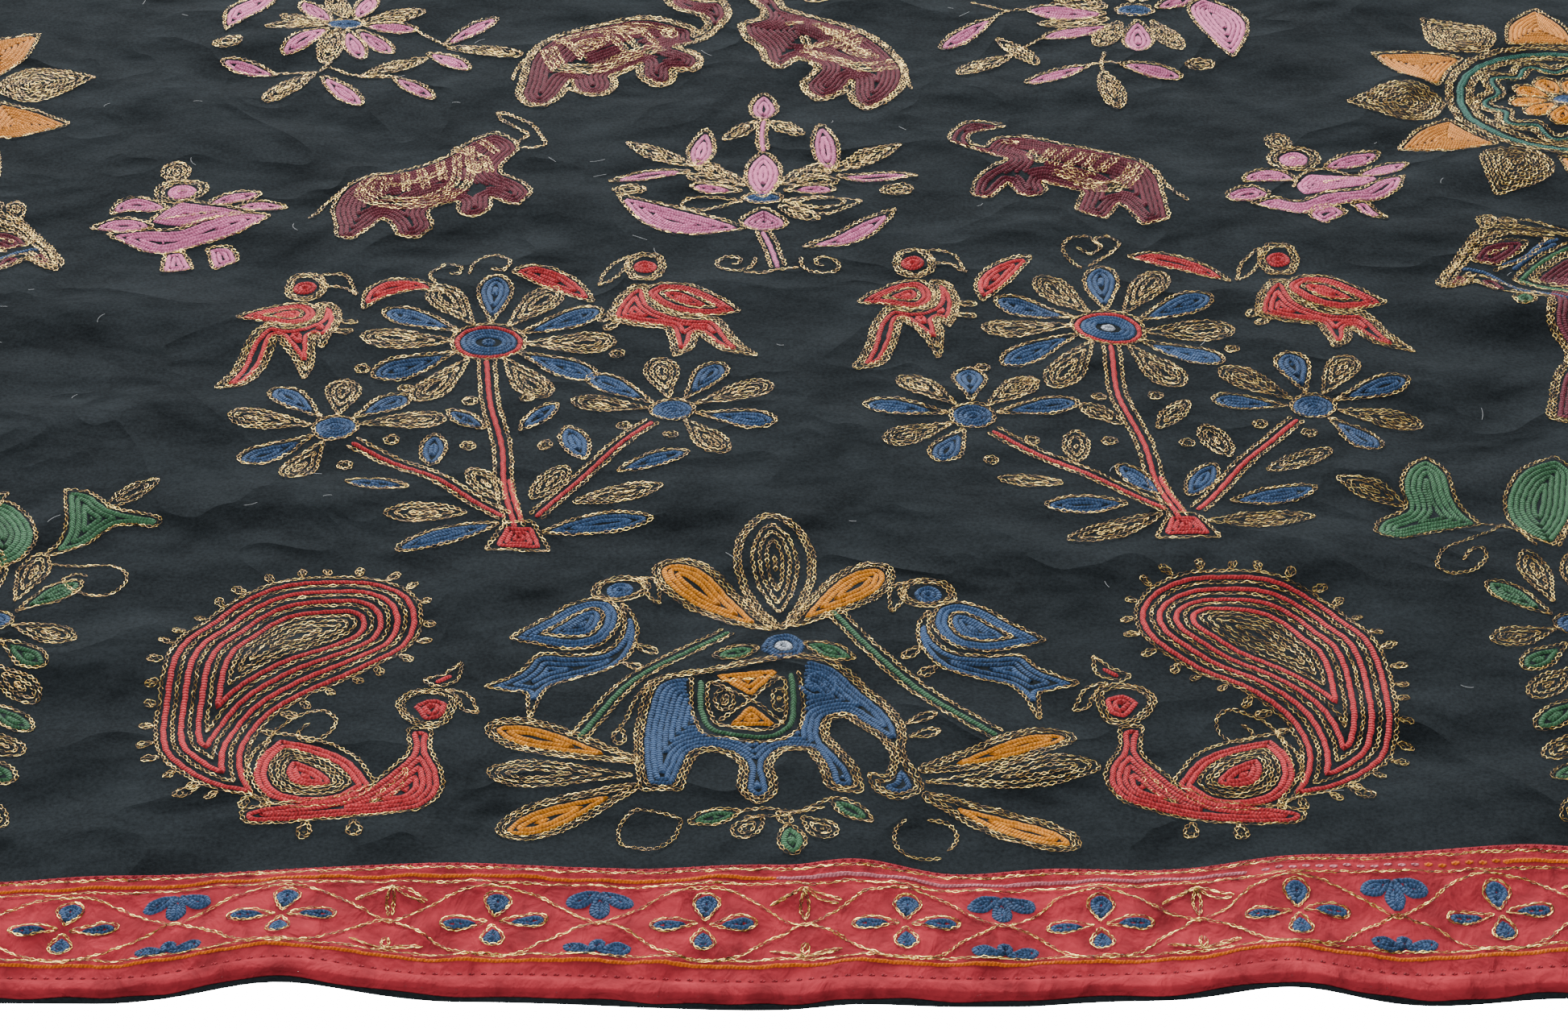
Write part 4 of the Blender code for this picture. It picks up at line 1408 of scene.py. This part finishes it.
def floss_mesh(name, lines, lay, coarse, random):
    """Makes rows of coloured chain along lines: low ridges whose width swells with each stitch."""
    sizes = bpy.context.scene.hanging_thread
    points_all, faces_all, along_all, across_all, tint_all, kinds = [], [], [], [], [], []
    held = 0
    for line in lines:
        points = even_line(line.points, sizes.floss_step * coarse, line.closed)
        if len(points) < 2:
            continue
        if len(points) > 3:
            points = hand_sway(points, line.closed, random, FLOSS_SWAY)
        count = len(points)
        if line.closed:
            ahead = np.roll(points, -1, axis=0) - np.roll(points, 1, axis=0)
        else:
            ahead = np.gradient(points, axis=0)
        sideways = left_of(ahead)
        slim = SLIM_YARNS.get(line.thread, 1.0)
        half = slim * sizes.floss_width / 2 * random.uniform(0.9, 1.08, count)
        tall = slim * sizes.floss_height * random.uniform(0.82, 1.12, count)
        if not line.closed:
            half[[0, -1]] *= 0.55
            tall[[0, -1]] *= 0.45
        across = np.array((1.0, 0.0, -1.0))
        flat = points[:, None] + across[None, :, None] * half[:, None, None] * sideways[:, None]
        solid = lay(flat)
        solid[:, 1, 2] += tall
        solid[:, (0, 2), 2] += 0.00004
        first = held + 3 * np.arange(count if line.closed else count - 1)
        after = held + (first - held + 3) % (3 * count)
        for side in (0, 1):
            corners = (first + side, first + side + 1, after + side + 1, after + side)
            faces_all.append(np.column_stack(corners))
        kinds.append(np.full(2 * len(first), FLOSSES.index(line.thread)))
        points_all.append(solid.reshape(-1, 3))
        steps = np.arange(count) * sizes.floss_step * coarse / MM
        along_all.append(np.repeat(steps, 3))
        across_all.append(np.tile(across, count))
        tint_all.append(np.full(3 * count, random.uniform(0.0, 1.0)))
        held += 3 * count
    values = {"along": np.concatenate(along_all), "across": np.concatenate(across_all),
              "tint": np.concatenate(tint_all)}
    mesh = joined_mesh(name, np.vstack(points_all), np.vstack(faces_all)[:, ::-1], values)
    kind = np.concatenate(kinds)
    used = sorted(set(kind.tolist()))
    for number in used:
        mesh.materials.append(floss_material(FLOSSES[number]))
    slots = np.zeros(len(FLOSSES), int)
    slots[used] = np.arange(len(used))
    mesh.polygons.foreach_set("material_index", slots[kind])
    mesh.shade_smooth()
    return mesh


def stitch(name, lines, lay, seed, coarse=1.0, loft=0.00070, stout=1.0, slim=1.0):
    """Sews lines on as two pieces, one of gold chain and one of coloured floss."""
    random = np.random.default_rng(seed)
    gold = [line for line in lines if line.thread == "gold"]
    floss = [line for line in lines if line.thread != "gold"]
    mesh = chain_mesh(name + "_gold", gold, lay, coarse, loft, (stout, slim), random)
    mesh.materials.append(gold_material())
    add_piece(name + "_gold", mesh)
    add_piece(name + "_floss", floss_mesh(name + "_floss", floss, lay, coarse, random))


def lint_mesh(name, count, seed):
    """Makes short pale fibres that lie on the wool, each a thin curved strip."""
    random = np.random.default_rng(seed)
    stations = 6
    share = np.linspace(-0.5, 0.5, stations)
    middle = np.column_stack([random.uniform(-half, half, count) for half in LINT_FIELD])
    long = random.uniform(*LINT_LENGTHS, count)
    turn = random.uniform(0.0, math.pi, count)
    bend = random.uniform(-1.4, 1.4, count)
    along = turn[:, None] + bend[:, None] * share
    way = np.stack([np.cos(along), np.sin(along)], axis=-1)
    line = middle[:, None] + np.cumsum(way, axis=1) * (long / stations)[:, None, None]
    side = np.stack([-way[..., 1], way[..., 0]], axis=-1) * LINT_HALF_WIDTH
    points = np.stack([line + side, line - side], axis=2)
    solid = lay_on_field(points)
    solid[..., 2] += LINT_RISE
    first = (np.arange(count)[:, None] * 2 * stations + 2 * np.arange(stations - 1)).reshape(-1, 1)
    faces = first + np.array((0, 1, 3, 2))
    mesh = joined_mesh(name, solid.reshape(-1, 3), faces, {})
    # Cotton fluff is matt, and its pale grey shows against the dark wool
    values = {"Base Color": (*linear("#9FA3A6"), 1.0), "Roughness": 0.9}
    mesh.materials.append(finish(new_material("loose_cotton_fibre"), values))
    return mesh


def cloth_sheet(name, columns, rows, base, top):
    """Makes one closed sheet of cloth over the mesh lines given, in even-cloth metres."""
    bm = bmesh.new()
    across, along = len(columns) - 1, len(rows) - 1
    bmesh.ops.create_grid(bm, x_segments=across, y_segments=along, size=0.5)
    bm.verts.ensure_lookup_table()
    flat = np.array([vert.co[:2] for vert in bm.verts])
    u = np.asarray(columns)[np.rint((flat[:, 0] + 0.5) * across).astype(int)]
    v = np.asarray(rows)[np.rint((flat[:, 1] + 0.5) * along).astype(int)]
    low, high = base(u, v), top(u, v)
    for vert, co in zip(bm.verts, low):
        vert.co = co
    marks = bm.verts.layers.int.new("mark")
    for number, vert in enumerate(bm.verts):
        vert[marks] = number
    raised = bmesh.ops.extrude_face_region(bm, geom=bm.faces[:])["geom"]
    for vert in raised:
        if isinstance(vert, bmesh.types.BMVert):
            vert.co = high[vert[marks]]
    bmesh.ops.recalc_face_normals(bm, faces=bm.faces[:])
    mesh = bpy.data.meshes.new(name)
    bm.to_mesh(mesh)
    bm.free()
    mesh.shade_smooth()
    return mesh


def steps_between(stops):
    """Lists mesh lines from (place, spacing to the next place) pairs, the last place closing the list."""
    lines = []
    for (start, spacing), (end, _) in zip(stops, stops[1:]):
        count = max(1, round((end - start) / spacing))
        lines += list(np.linspace(start, end, count, endpoint=False))
    return lines + [stops[-1][0]]


# Materials


def set_up(material, node, settings, links):
    """Gives a node its settings, the values of its sockets, and the nodes or sockets that feed it."""
    for name, value in (settings or {}).items():
        if isinstance(name, str) and hasattr(node, name):
            setattr(node, name, value)
        else:
            node.inputs[name].default_value = value
    for name, source in (links or {}).items():
        socket = source.outputs[0] if isinstance(source, bpy.types.Node) else source
        material.node_tree.links.new(socket, node.inputs[name])
    return node


def add_node(material, kind, settings=None, links=None):
    """Adds a node with its settings and links."""
    return set_up(material, material.node_tree.nodes.new(kind), settings, links)


def new_material(name):
    """Makes a material that holds its shader alone."""
    material = bpy.data.materials.new(name)
    material.use_nodes = True
    return material


def finish(material, values, links=None):
    """Sets the sockets of a material's shader, and feeds some of them from other nodes."""
    set_up(material, material.node_tree.nodes["Principled BSDF"], values, links)
    return material


def shaded(material, value, span, colour, factors):
    """Takes a colour from a dark shade of it to a light one as a value runs over its span."""
    share = add_node(material, "ShaderNodeMapRange", {"From Min": span[0], "From Max": span[1]},
                     {"Value": value})
    dark, light = ((*(level * factor for level in colour), 1.0) for factor in factors)
    mix = add_node(material, "ShaderNodeMix", {"data_type": "RGBA", 6: dark, 7: light}, {0: share})
    return mix.outputs[2]


def wool_material():
    """Plain-woven wool, brushed and matt: a dull dark surface with faint mottling and a soft nap."""
    wool = new_material("brushed_wool_cloth")
    spot = {"Vector": add_node(wool, "ShaderNodeTexCoord").outputs["Object"]}
    mottle = add_node(wool, "ShaderNodeTexNoise", {"Scale": 26.0, "Detail": 4.0, "Roughness": 0.6}, spot)
    grain = add_node(wool, "ShaderNodeTexNoise", {"Scale": 620.0, "Detail": 3.0, "Roughness": 0.7}, spot)
    both = add_node(wool, "ShaderNodeMath", {"operation": "MULTIPLY_ADD", 1: 0.6}, {0: mottle, 2: grain})
    shades = shaded(wool, both, (0.55, 1.05), bpy.context.scene.hanging_cloth.ground_colour, (0.6, 1.5))
    # Wrinkles 4 to 8 cm apart with a sharp crest, as the cloth kept them from being folded away
    rise = add_node(wool, "ShaderNodeTexNoise",
                    {"Scale": 11.0, "Detail": 2.0, "Roughness": 0.45, "Distortion": 0.5}, spot)
    level = add_node(wool, "ShaderNodeMath", {"operation": "SUBTRACT", 1: 0.5}, {0: rise})
    away = add_node(wool, "ShaderNodeMath", {"operation": "ABSOLUTE"}, {0: level})
    crest = add_node(wool, "ShaderNodeMath", {"operation": "SUBTRACT", 0: 1.0}, {1: away})
    wrinkle = add_node(wool, "ShaderNodeBump", {"Strength": 1.0, "Distance": 0.022}, {"Height": crest})
    # Softer creases between them, which run across the cloth a little more than along it
    stretched = add_node(wool, "ShaderNodeMapping", {"Scale": (0.7, 1.0, 1.0)}, spot)
    crease = add_node(wool, "ShaderNodeTexNoise", {"Scale": 32.0, "Detail": 2.5, "Roughness": 0.5},
                      {"Vector": stretched})
    broad = add_node(wool, "ShaderNodeBump", {"Strength": 1.0, "Distance": 0.0045},
                     {"Height": crease, "Normal": wrinkle})
    # The nap hides the weave but for a fine grain
    fine = add_node(wool, "ShaderNodeBump", {"Strength": 0.5, "Distance": 0.0004},
                    {"Height": grain, "Normal": broad})
    return finish(wool, {"Roughness": 1.0, "Specular IOR Level": 0.03},
                  {"Base Color": shades, "Normal": fine})


def cotton_material():
    """Plain-woven cotton, washed soft: a flat red with faint mottling, and painted shade that darkens it in
    the hollows where it puckers at the stitching and lightens it on the crests.
    """
    cotton = new_material("washed_cotton_cloth")
    spot = {"Vector": add_node(cotton, "ShaderNodeTexCoord").outputs["Object"]}
    stretched = add_node(cotton, "ShaderNodeMapping", {"Scale": (1.0, 0.55, 1.0)}, spot)
    puckers = add_node(cotton, "ShaderNodeTexNoise",
                       {"Scale": 110.0, "Detail": 3.0, "Roughness": 0.55, "Distortion": 0.4},
                       {"Vector": stretched})
    mottle = add_node(cotton, "ShaderNodeTexNoise", {"Scale": 46.0, "Detail": 4.0, "Roughness": 0.6}, spot)
    # Painted shade and light: the pucker noise that bumps the cloth also darkens the red in its hollows and
    # lightens it on its crests, mixed with random mottling
    pucker_shade_and_mottle = add_node(cotton, "ShaderNodeMath", {"operation": "MULTIPLY_ADD", 1: 0.7}, {0: puckers, 2: mottle})
    shades = shaded(cotton, pucker_shade_and_mottle, (0.58, 1.1), bpy.context.scene.hanging_cloth.border_colour, (0.5, 1.25))
    weave = add_node(cotton, "ShaderNodeTexNoise", {"Scale": 900.0, "Detail": 2.0, "Roughness": 0.6}, spot)
    broad = add_node(cotton, "ShaderNodeBump", {"Strength": 1.0, "Distance": 0.0030}, {"Height": puckers})
    fine = add_node(cotton, "ShaderNodeBump", {"Strength": 0.3, "Distance": 0.0004},
                    {"Height": weave, "Normal": broad})
    return finish(cotton, {"Roughness": 0.85, "Specular IOR Level": 0.05},
                  {"Base Color": shades, "Normal": fine})


def gold_material():
    """Thread wound with gilt strip: brown gold of a tone that varies by strand, with painted highlights,
    bright sparks set into its colour by noise and not by where the strip faces the light.
    """
    known = bpy.data.materials.get("gilt_wound_thread")
    if known:
        return known
    gilt = new_material("gilt_wound_thread")
    gold = bpy.context.scene.hanging_thread.gold
    # Painted highlight: the strand's share and a fine noise lift spots of the colour to bright sparks,
    # whatever the light
    glint = add_node(gilt, "ShaderNodeAttribute", {"attribute_name": "glint"}).outputs["Fac"]
    spot = add_node(gilt, "ShaderNodeTexCoord").outputs["Object"]
    spark = add_node(gilt, "ShaderNodeTexNoise", {"Scale": 520.0, "Detail": 1.0, "Roughness": 0.5},
                     {"Vector": spot})
    share = add_node(gilt, "ShaderNodeMath", {"operation": "MULTIPLY_ADD", 1: 0.42}, {0: glint, 2: spark})
    tone = add_node(gilt, "ShaderNodeMapRange", {"From Min": 0.44, "From Max": 0.94}, {"Value": share})
    ramp = add_node(gilt, "ShaderNodeValToRGB", {}, {"Fac": tone})
    stops = ramp.color_ramp.elements
    stops[0].position = 0.0
    stops[0].color = (*(level * 0.06 for level in gold), 1.0)
    stops[1].position = 0.80
    stops[1].color = (*linear("#FFDF78"), 1.0)
    for position, factors in ((0.43, (0.24, 0.28, 0.4)), (0.64, (0.68, 0.82, 1.1))):
        stops.new(position).color = (*(level * factor for level, factor in zip(gold, factors)), 1.0)
    # The strip is wound round a core: a rounded thread, with ridges too fine to show
    rim = add_node(gilt, "ShaderNodeAttribute", {"attribute_name": "rim"}).outputs["Fac"]
    square = add_node(gilt, "ShaderNodeMath", {"operation": "MULTIPLY"}, {0: rim, 1: rim})
    rounded = add_node(gilt, "ShaderNodeMath", {"operation": "SUBTRACT", 0: 1.0}, {1: square})
    height = add_node(gilt, "ShaderNodeMath", {"operation": "MULTIPLY_ADD", 1: 0.5}, {0: spark, 2: rounded})
    bump = add_node(gilt, "ShaderNodeBump", {"Strength": 0.6, "Distance": 0.0002}, {"Height": height})
    return finish(gilt, {"Metallic": 0.75, "Roughness": 0.34}, {"Base Color": ramp, "Normal": bump})


def floss_material(thread):
    """Stranded cotton floss: matt, with the slant of each chain stitch as a small groove, and painted shade
    that darkens its colour in the grooves and towards the row's sides.
    """
    name = thread + "_stranded_floss"
    known = bpy.data.materials.get(name)
    if known:
        return known
    floss = new_material(name)
    dye = getattr(bpy.context.scene.hanging_thread, thread)
    along, across, tint = (
        add_node(floss, "ShaderNodeAttribute", {"attribute_name": attribute}).outputs["Fac"]
        for attribute in ("along", "across", "tint"))
    out = add_node(floss, "ShaderNodeMath", {"operation": "ABSOLUTE"}, {0: across})
    # One slant of the chain every 1.5 mm, met in a point on the row's middle
    slant = add_node(floss, "ShaderNodeMath", {"operation": "MULTIPLY", 1: 2.6}, {0: out})
    phase = add_node(floss, "ShaderNodeMath", {"operation": "MULTIPLY_ADD", 1: 2.0 * math.pi / 1.5},
                     {0: along, 2: slant})
    wave = add_node(floss, "ShaderNodeMath", {"operation": "SINE"}, {0: phase})
    spot = add_node(floss, "ShaderNodeTexCoord").outputs["Object"]
    fluff = add_node(floss, "ShaderNodeTexNoise", {"Scale": 700.0, "Detail": 3.0, "Roughness": 0.65},
                     {"Vector": spot})
    strands = add_node(floss, "ShaderNodeMath", {"operation": "MULTIPLY", 1: 1.7}, {0: fluff})
    height = add_node(floss, "ShaderNodeMath", {"operation": "MULTIPLY_ADD", 1: 0.35}, {0: wave, 2: strands})
    bump = add_node(floss, "ShaderNodeBump", {"Strength": 0.9, "Distance": 0.0005}, {"Height": height})
    # Painted shade: the colour darkens where the groove bump is low and towards the row's sides, with a
    # random tone for each row
    shade = add_node(floss, "ShaderNodeMath", {"operation": "MULTIPLY_ADD", 1: 0.45}, {0: tint, 2: height})
    edge = add_node(floss, "ShaderNodeMath", {"operation": "MULTIPLY_ADD", 1: -0.55}, {0: out, 2: shade})
    shades = shaded(floss, edge, (0.05, 1.35), dye, (0.33, min(1.4, 1.0 / max(dye))))
    return finish(floss, {"Roughness": 0.7, "Specular IOR Level": 0.12},
                  {"Base Color": shades, "Normal": bump})


# Operators


class HANGING_OT_ground(bpy.types.Operator):
    """Lay the dark ground cloth in its folds"""

    bl_idname = "hanging.lay_ground"
    bl_label = "Lay the ground cloth"

    def execute(self, context):
        cell = context.scene.hanging_cloth.cell
        columns = steps_between([(-WIDTH / 2, cell), (WIDTH / 2, 0.0)])
        rows = steps_between([(-LENGTH / 2, cell * NEAR_ROWS), (NEAR_ROWS_END, cell * FAR_ROWS),
                              (LENGTH / 2, 0.0)])

        def under(u, v):
            x, y = place(u, v)
            return np.column_stack([x, y, lift(x, y)])

        def over(u, v):
            return under(u, v) + np.array((0.0, 0.0, GROUND_THICKNESS))

        mesh = cloth_sheet("ground_wool", columns, rows, under, over)
        mesh.materials.append(wool_material())
        piece = add_piece("ground_wool", mesh)
        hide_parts("ground_cloth")
        return {"FINISHED"}


class HANGING_OT_border(bpy.types.Operator):
    """Sew the four red strips round the ground cloth"""

    bl_idname = "hanging.sew_border"
    bl_label = "Sew the border strips"

    def execute(self, context):
        cotton = cotton_material()
        shaped = [distance * MM for distance, _ in STRIP_PROFILE]
        distances = shaped[:9] + list(np.linspace(0.019, shaped[9], 16)) + shaped[10:]
        long_fine = steps_between([(-WIDTH / 2, NEAR_STRIP_CELL), (WIDTH / 2, 0.0)])
        long_plain = steps_between([(-WIDTH / 2, STRIP_CELL), (WIDTH / 2, 0.0)])
        inner = LENGTH / 2 - STRIP_WIDTH - SEAM_GAP
        upright = steps_between([(-inner, STRIP_CELL), (inner, 0.0)])
        near = [-LENGTH / 2 + step for step in distances]
        far = [-step for step in reversed(near)]
        left = [-WIDTH / 2 + step for step in distances]
        right = [-step for step in reversed(left)]
        strips = (("bottom", long_fine, near), ("top", long_plain, far), ("left", left, upright),
                  ("right", right, upright))

        def under(u, v):
            x, y = lipped(u, v)
            return np.column_stack([x, y, lift(x, y) + GROUND_THICKNESS + SEAM_GAP])

        def over(u, v):
            edge = np.minimum(WIDTH / 2 - np.abs(u), LENGTH / 2 - np.abs(v))
            low = under(u, v)
            low[:, 2] += strip_top(edge) + pucker(u, v)
            return low

        for side, columns, rows in strips:
            mesh = cloth_sheet("border_cotton_" + side, columns, rows, under, over)
            mesh.materials.append(cotton)
            piece = add_piece("border_cotton_" + side, mesh)
            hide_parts("border_" + side)
        return {"FINISHED"}


class HANGING_OT_border_thread(bpy.types.Operator):
    """Embroider the four border strips, the three that the photograph doesn't show in longer stitches"""

    bl_idname = "hanging.embroider_border"
    bl_label = "Embroider the border"

    def execute(self, context):
        stitch("border_bottom", sewn_sides(("bottom",)), lay_on_border, seed=11, stout=1.25, slim=0.55)
        stitch("border_rest", sewn_sides(("top", "left", "right")), lay_on_border, seed=12, coarse=1.9,
               slim=0.6)
        return {"FINISHED"}


class HANGING_OT_lowest_row(bpy.types.Operator):
    """Embroider the elephant group, the peacocks and the corner plants"""

    bl_idname = "hanging.embroider_lowest_row"
    bl_label = "Embroider the lowest row"

    def execute(self, context):
        stitch("lowest_row", from_edge(lowest_row()), lay_on_field, seed=21, stout=0.9, slim=0.82)
        return {"FINISHED"}


class HANGING_OT_trees(bpy.types.Operator):
    """Embroider the two trees with their birds"""

    bl_idname = "hanging.embroider_trees"
    bl_label = "Embroider the trees"

    def execute(self, context):
        stitch("tree_row", from_edge(tree_row()), lay_on_field, seed=31, loft=0.0008, slim=0.9)
        return {"FINISHED"}


class HANGING_OT_third_row(bpy.types.Operator):
    """Embroider the pink plant, the maroon elephants, the lotuses and the horses"""

    bl_idname = "hanging.embroider_third_row"
    bl_label = "Embroider the third row"

    def execute(self, context):
        stitch("third_row", from_edge(third_row()), lay_on_field, seed=41, loft=0.001, stout=1.2)
        return {"FINISHED"}


class HANGING_OT_middle_row(bpy.types.Operator):
    """Embroider the sprays, the striding elephants and the suns"""

    bl_idname = "hanging.embroider_middle_row"
    bl_label = "Embroider the middle row"

    def execute(self, context):
        stitch("middle_row", from_edge(middle_row()), lay_on_field, seed=51, loft=0.001, stout=1.25)
        return {"FINISHED"}


class HANGING_OT_upper_half(bpy.types.Operator):
    """Repeat the rows in the upper half, which the photograph doesn't show, in longer stitches"""

    bl_idname = "hanging.embroider_upper_half"
    bl_label = "Embroider the upper half"

    def execute(self, context):
        lines = placed(third_row(horses=False), (0, 316)) + placed(tree_row(), (0, 735))
        lines += placed(lowest_row(drop=85), (0, 1190))
        stitch("upper_half", from_edge(lines), lay_on_field, seed=61, coarse=1.9)
        return {"FINISHED"}


class HANGING_OT_lint(bpy.types.Operator):
    """Strew a few pale fibres over the wool"""

    bl_idname = "hanging.strew_lint"
    bl_label = "Strew lint"

    def execute(self, context):
        add_piece("ground_lint", lint_mesh("ground_lint", count=150, seed=71))
        return {"FINISHED"}


def aimed(way):
    """Gives the rotation that points a lamp's beam along a direction."""
    flat = math.hypot(way[0], way[1])
    return (math.pi / 2 - math.atan2(-way[2], flat), 0.0, math.atan2(-way[0], way[1]))


def add_softbox(name, at, size, power):
    """Hangs a softbox that faces the cloth."""
    lamp = bpy.data.lights.new(name, "AREA")
    lamp.shape = "RECTANGLE"
    lamp.size, lamp.size_y = size
    lamp.energy = power
    thing = bpy.data.objects.new(name, lamp)
    bpy.context.scene.collection.objects.link(thing)
    thing.location = at
    thing.rotation_euler = aimed(np.array(LIT_POINT) - np.array(at))


class HANGING_OT_stage(bpy.types.Operator):
    """Set the pale floor, the soft studio light and the camera"""

    bl_idname = "hanging.set_stage"
    bl_label = "Set the stage"

    def execute(self, context):
        stage = context.scene.hanging_stage
        bm = bmesh.new()
        bmesh.ops.create_grid(bm, x_segments=1, y_segments=1, size=FLOOR_REACH)
        bmesh.ops.translate(bm, verts=bm.verts, vec=(0.0, 0.0, -FLOOR_DROP))
        mesh = bpy.data.meshes.new("studio_floor")
        bm.to_mesh(mesh)
        bm.free()
        # Matt paper, lit from below so that it stays white and takes no shadow
        values = {"Base Color": (*stage.floor_colour, 1.0), "Roughness": 0.9,
                  "Emission Color": (1.0, 1.0, 1.0, 1.0), "Emission Strength": stage.floor_glow}
        mesh.materials.append(finish(new_material("matt_studio_paper"), values))
        floor = bpy.data.objects.new("studio_floor", mesh)
        floor.visible_diffuse = False
        floor.visible_glossy = False
        context.scene.collection.objects.link(floor)

        world = bpy.data.worlds.new("studio_air")
        context.scene.world = world
        world.use_nodes = True
        air = world.node_tree.nodes["Background"]
        air.inputs["Color"].default_value = (1.0, 1.0, 1.0, 1.0)
        air.inputs["Strength"].default_value = AIR_LIGHT
        for softbox in SOFTBOXES:
            add_softbox(*softbox)

        camera = bpy.data.cameras.new("studio_camera")
        camera.lens = stage.lens
        camera.sensor_width = 36.0
        camera.sensor_fit = "HORIZONTAL"
        camera.clip_end = 50.0
        holder = bpy.data.objects.new("studio_camera", camera)
        context.scene.collection.objects.link(holder)
        holder.location = (CAMERA_ACROSS, -LENGTH / 2 - stage.back, stage.height)
        holder.rotation_euler = (math.pi / 2 - stage.pitch, 0.0, 0.0)
        context.scene.camera = holder
        return {"FINISHED"}


class HANGING_PT_panel(bpy.types.Panel):
    """Lists the steps that make the hanging."""

    bl_idname = "HANGING_PT_panel"
    bl_label = "Embroidered wall hanging"
    bl_space_type = "VIEW_3D"
    bl_region_type = "UI"
    bl_category = "Hanging"

    def draw(self, context):
        for group in ("hanging_cloth", "hanging_thread", "hanging_stage"):
            box = self.layout.box()
            settings = getattr(context.scene, group)
            for name in settings.__annotations__:
                box.prop(settings, name)
        for step in STEPS:
            self.layout.operator(step.bl_idname)


GROUPS = (HangingCloth, HangingThread, HangingStage)
STEPS = (HANGING_OT_stage, HANGING_OT_ground, HANGING_OT_border, HANGING_OT_border_thread,
         HANGING_OT_lowest_row, HANGING_OT_trees, HANGING_OT_third_row, HANGING_OT_middle_row,
         HANGING_OT_upper_half, HANGING_OT_lint)


def register():
    """Makes the settings, the steps and the panel known to Blender."""
    for kind in (*GROUPS, *STEPS, HANGING_PT_panel):
        bpy.utils.register_class(kind)
    bpy.types.Scene.hanging_cloth = bpy.props.PointerProperty(type=HangingCloth)
    bpy.types.Scene.hanging_thread = bpy.props.PointerProperty(type=HangingThread)
    bpy.types.Scene.hanging_stage = bpy.props.PointerProperty(type=HangingStage)


def unregister():
    """Takes them out again."""
    for name in ("hanging_cloth", "hanging_thread", "hanging_stage"):
        delattr(bpy.types.Scene, name)
    for kind in reversed((*GROUPS, *STEPS, HANGING_PT_panel)):
        bpy.utils.unregister_class(kind)


def main():
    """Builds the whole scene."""
    register()
    bpy.ops.hanging.set_stage()
    bpy.ops.hanging.lay_ground()
    bpy.ops.hanging.sew_border()
    bpy.ops.hanging.embroider_border()
    bpy.ops.hanging.embroider_lowest_row()
    bpy.ops.hanging.embroider_trees()
    bpy.ops.hanging.embroider_third_row()
    bpy.ops.hanging.embroider_middle_row()
    bpy.ops.hanging.embroider_upper_half()
    bpy.ops.hanging.strew_lint()


if __name__ == "__main__":
    main()
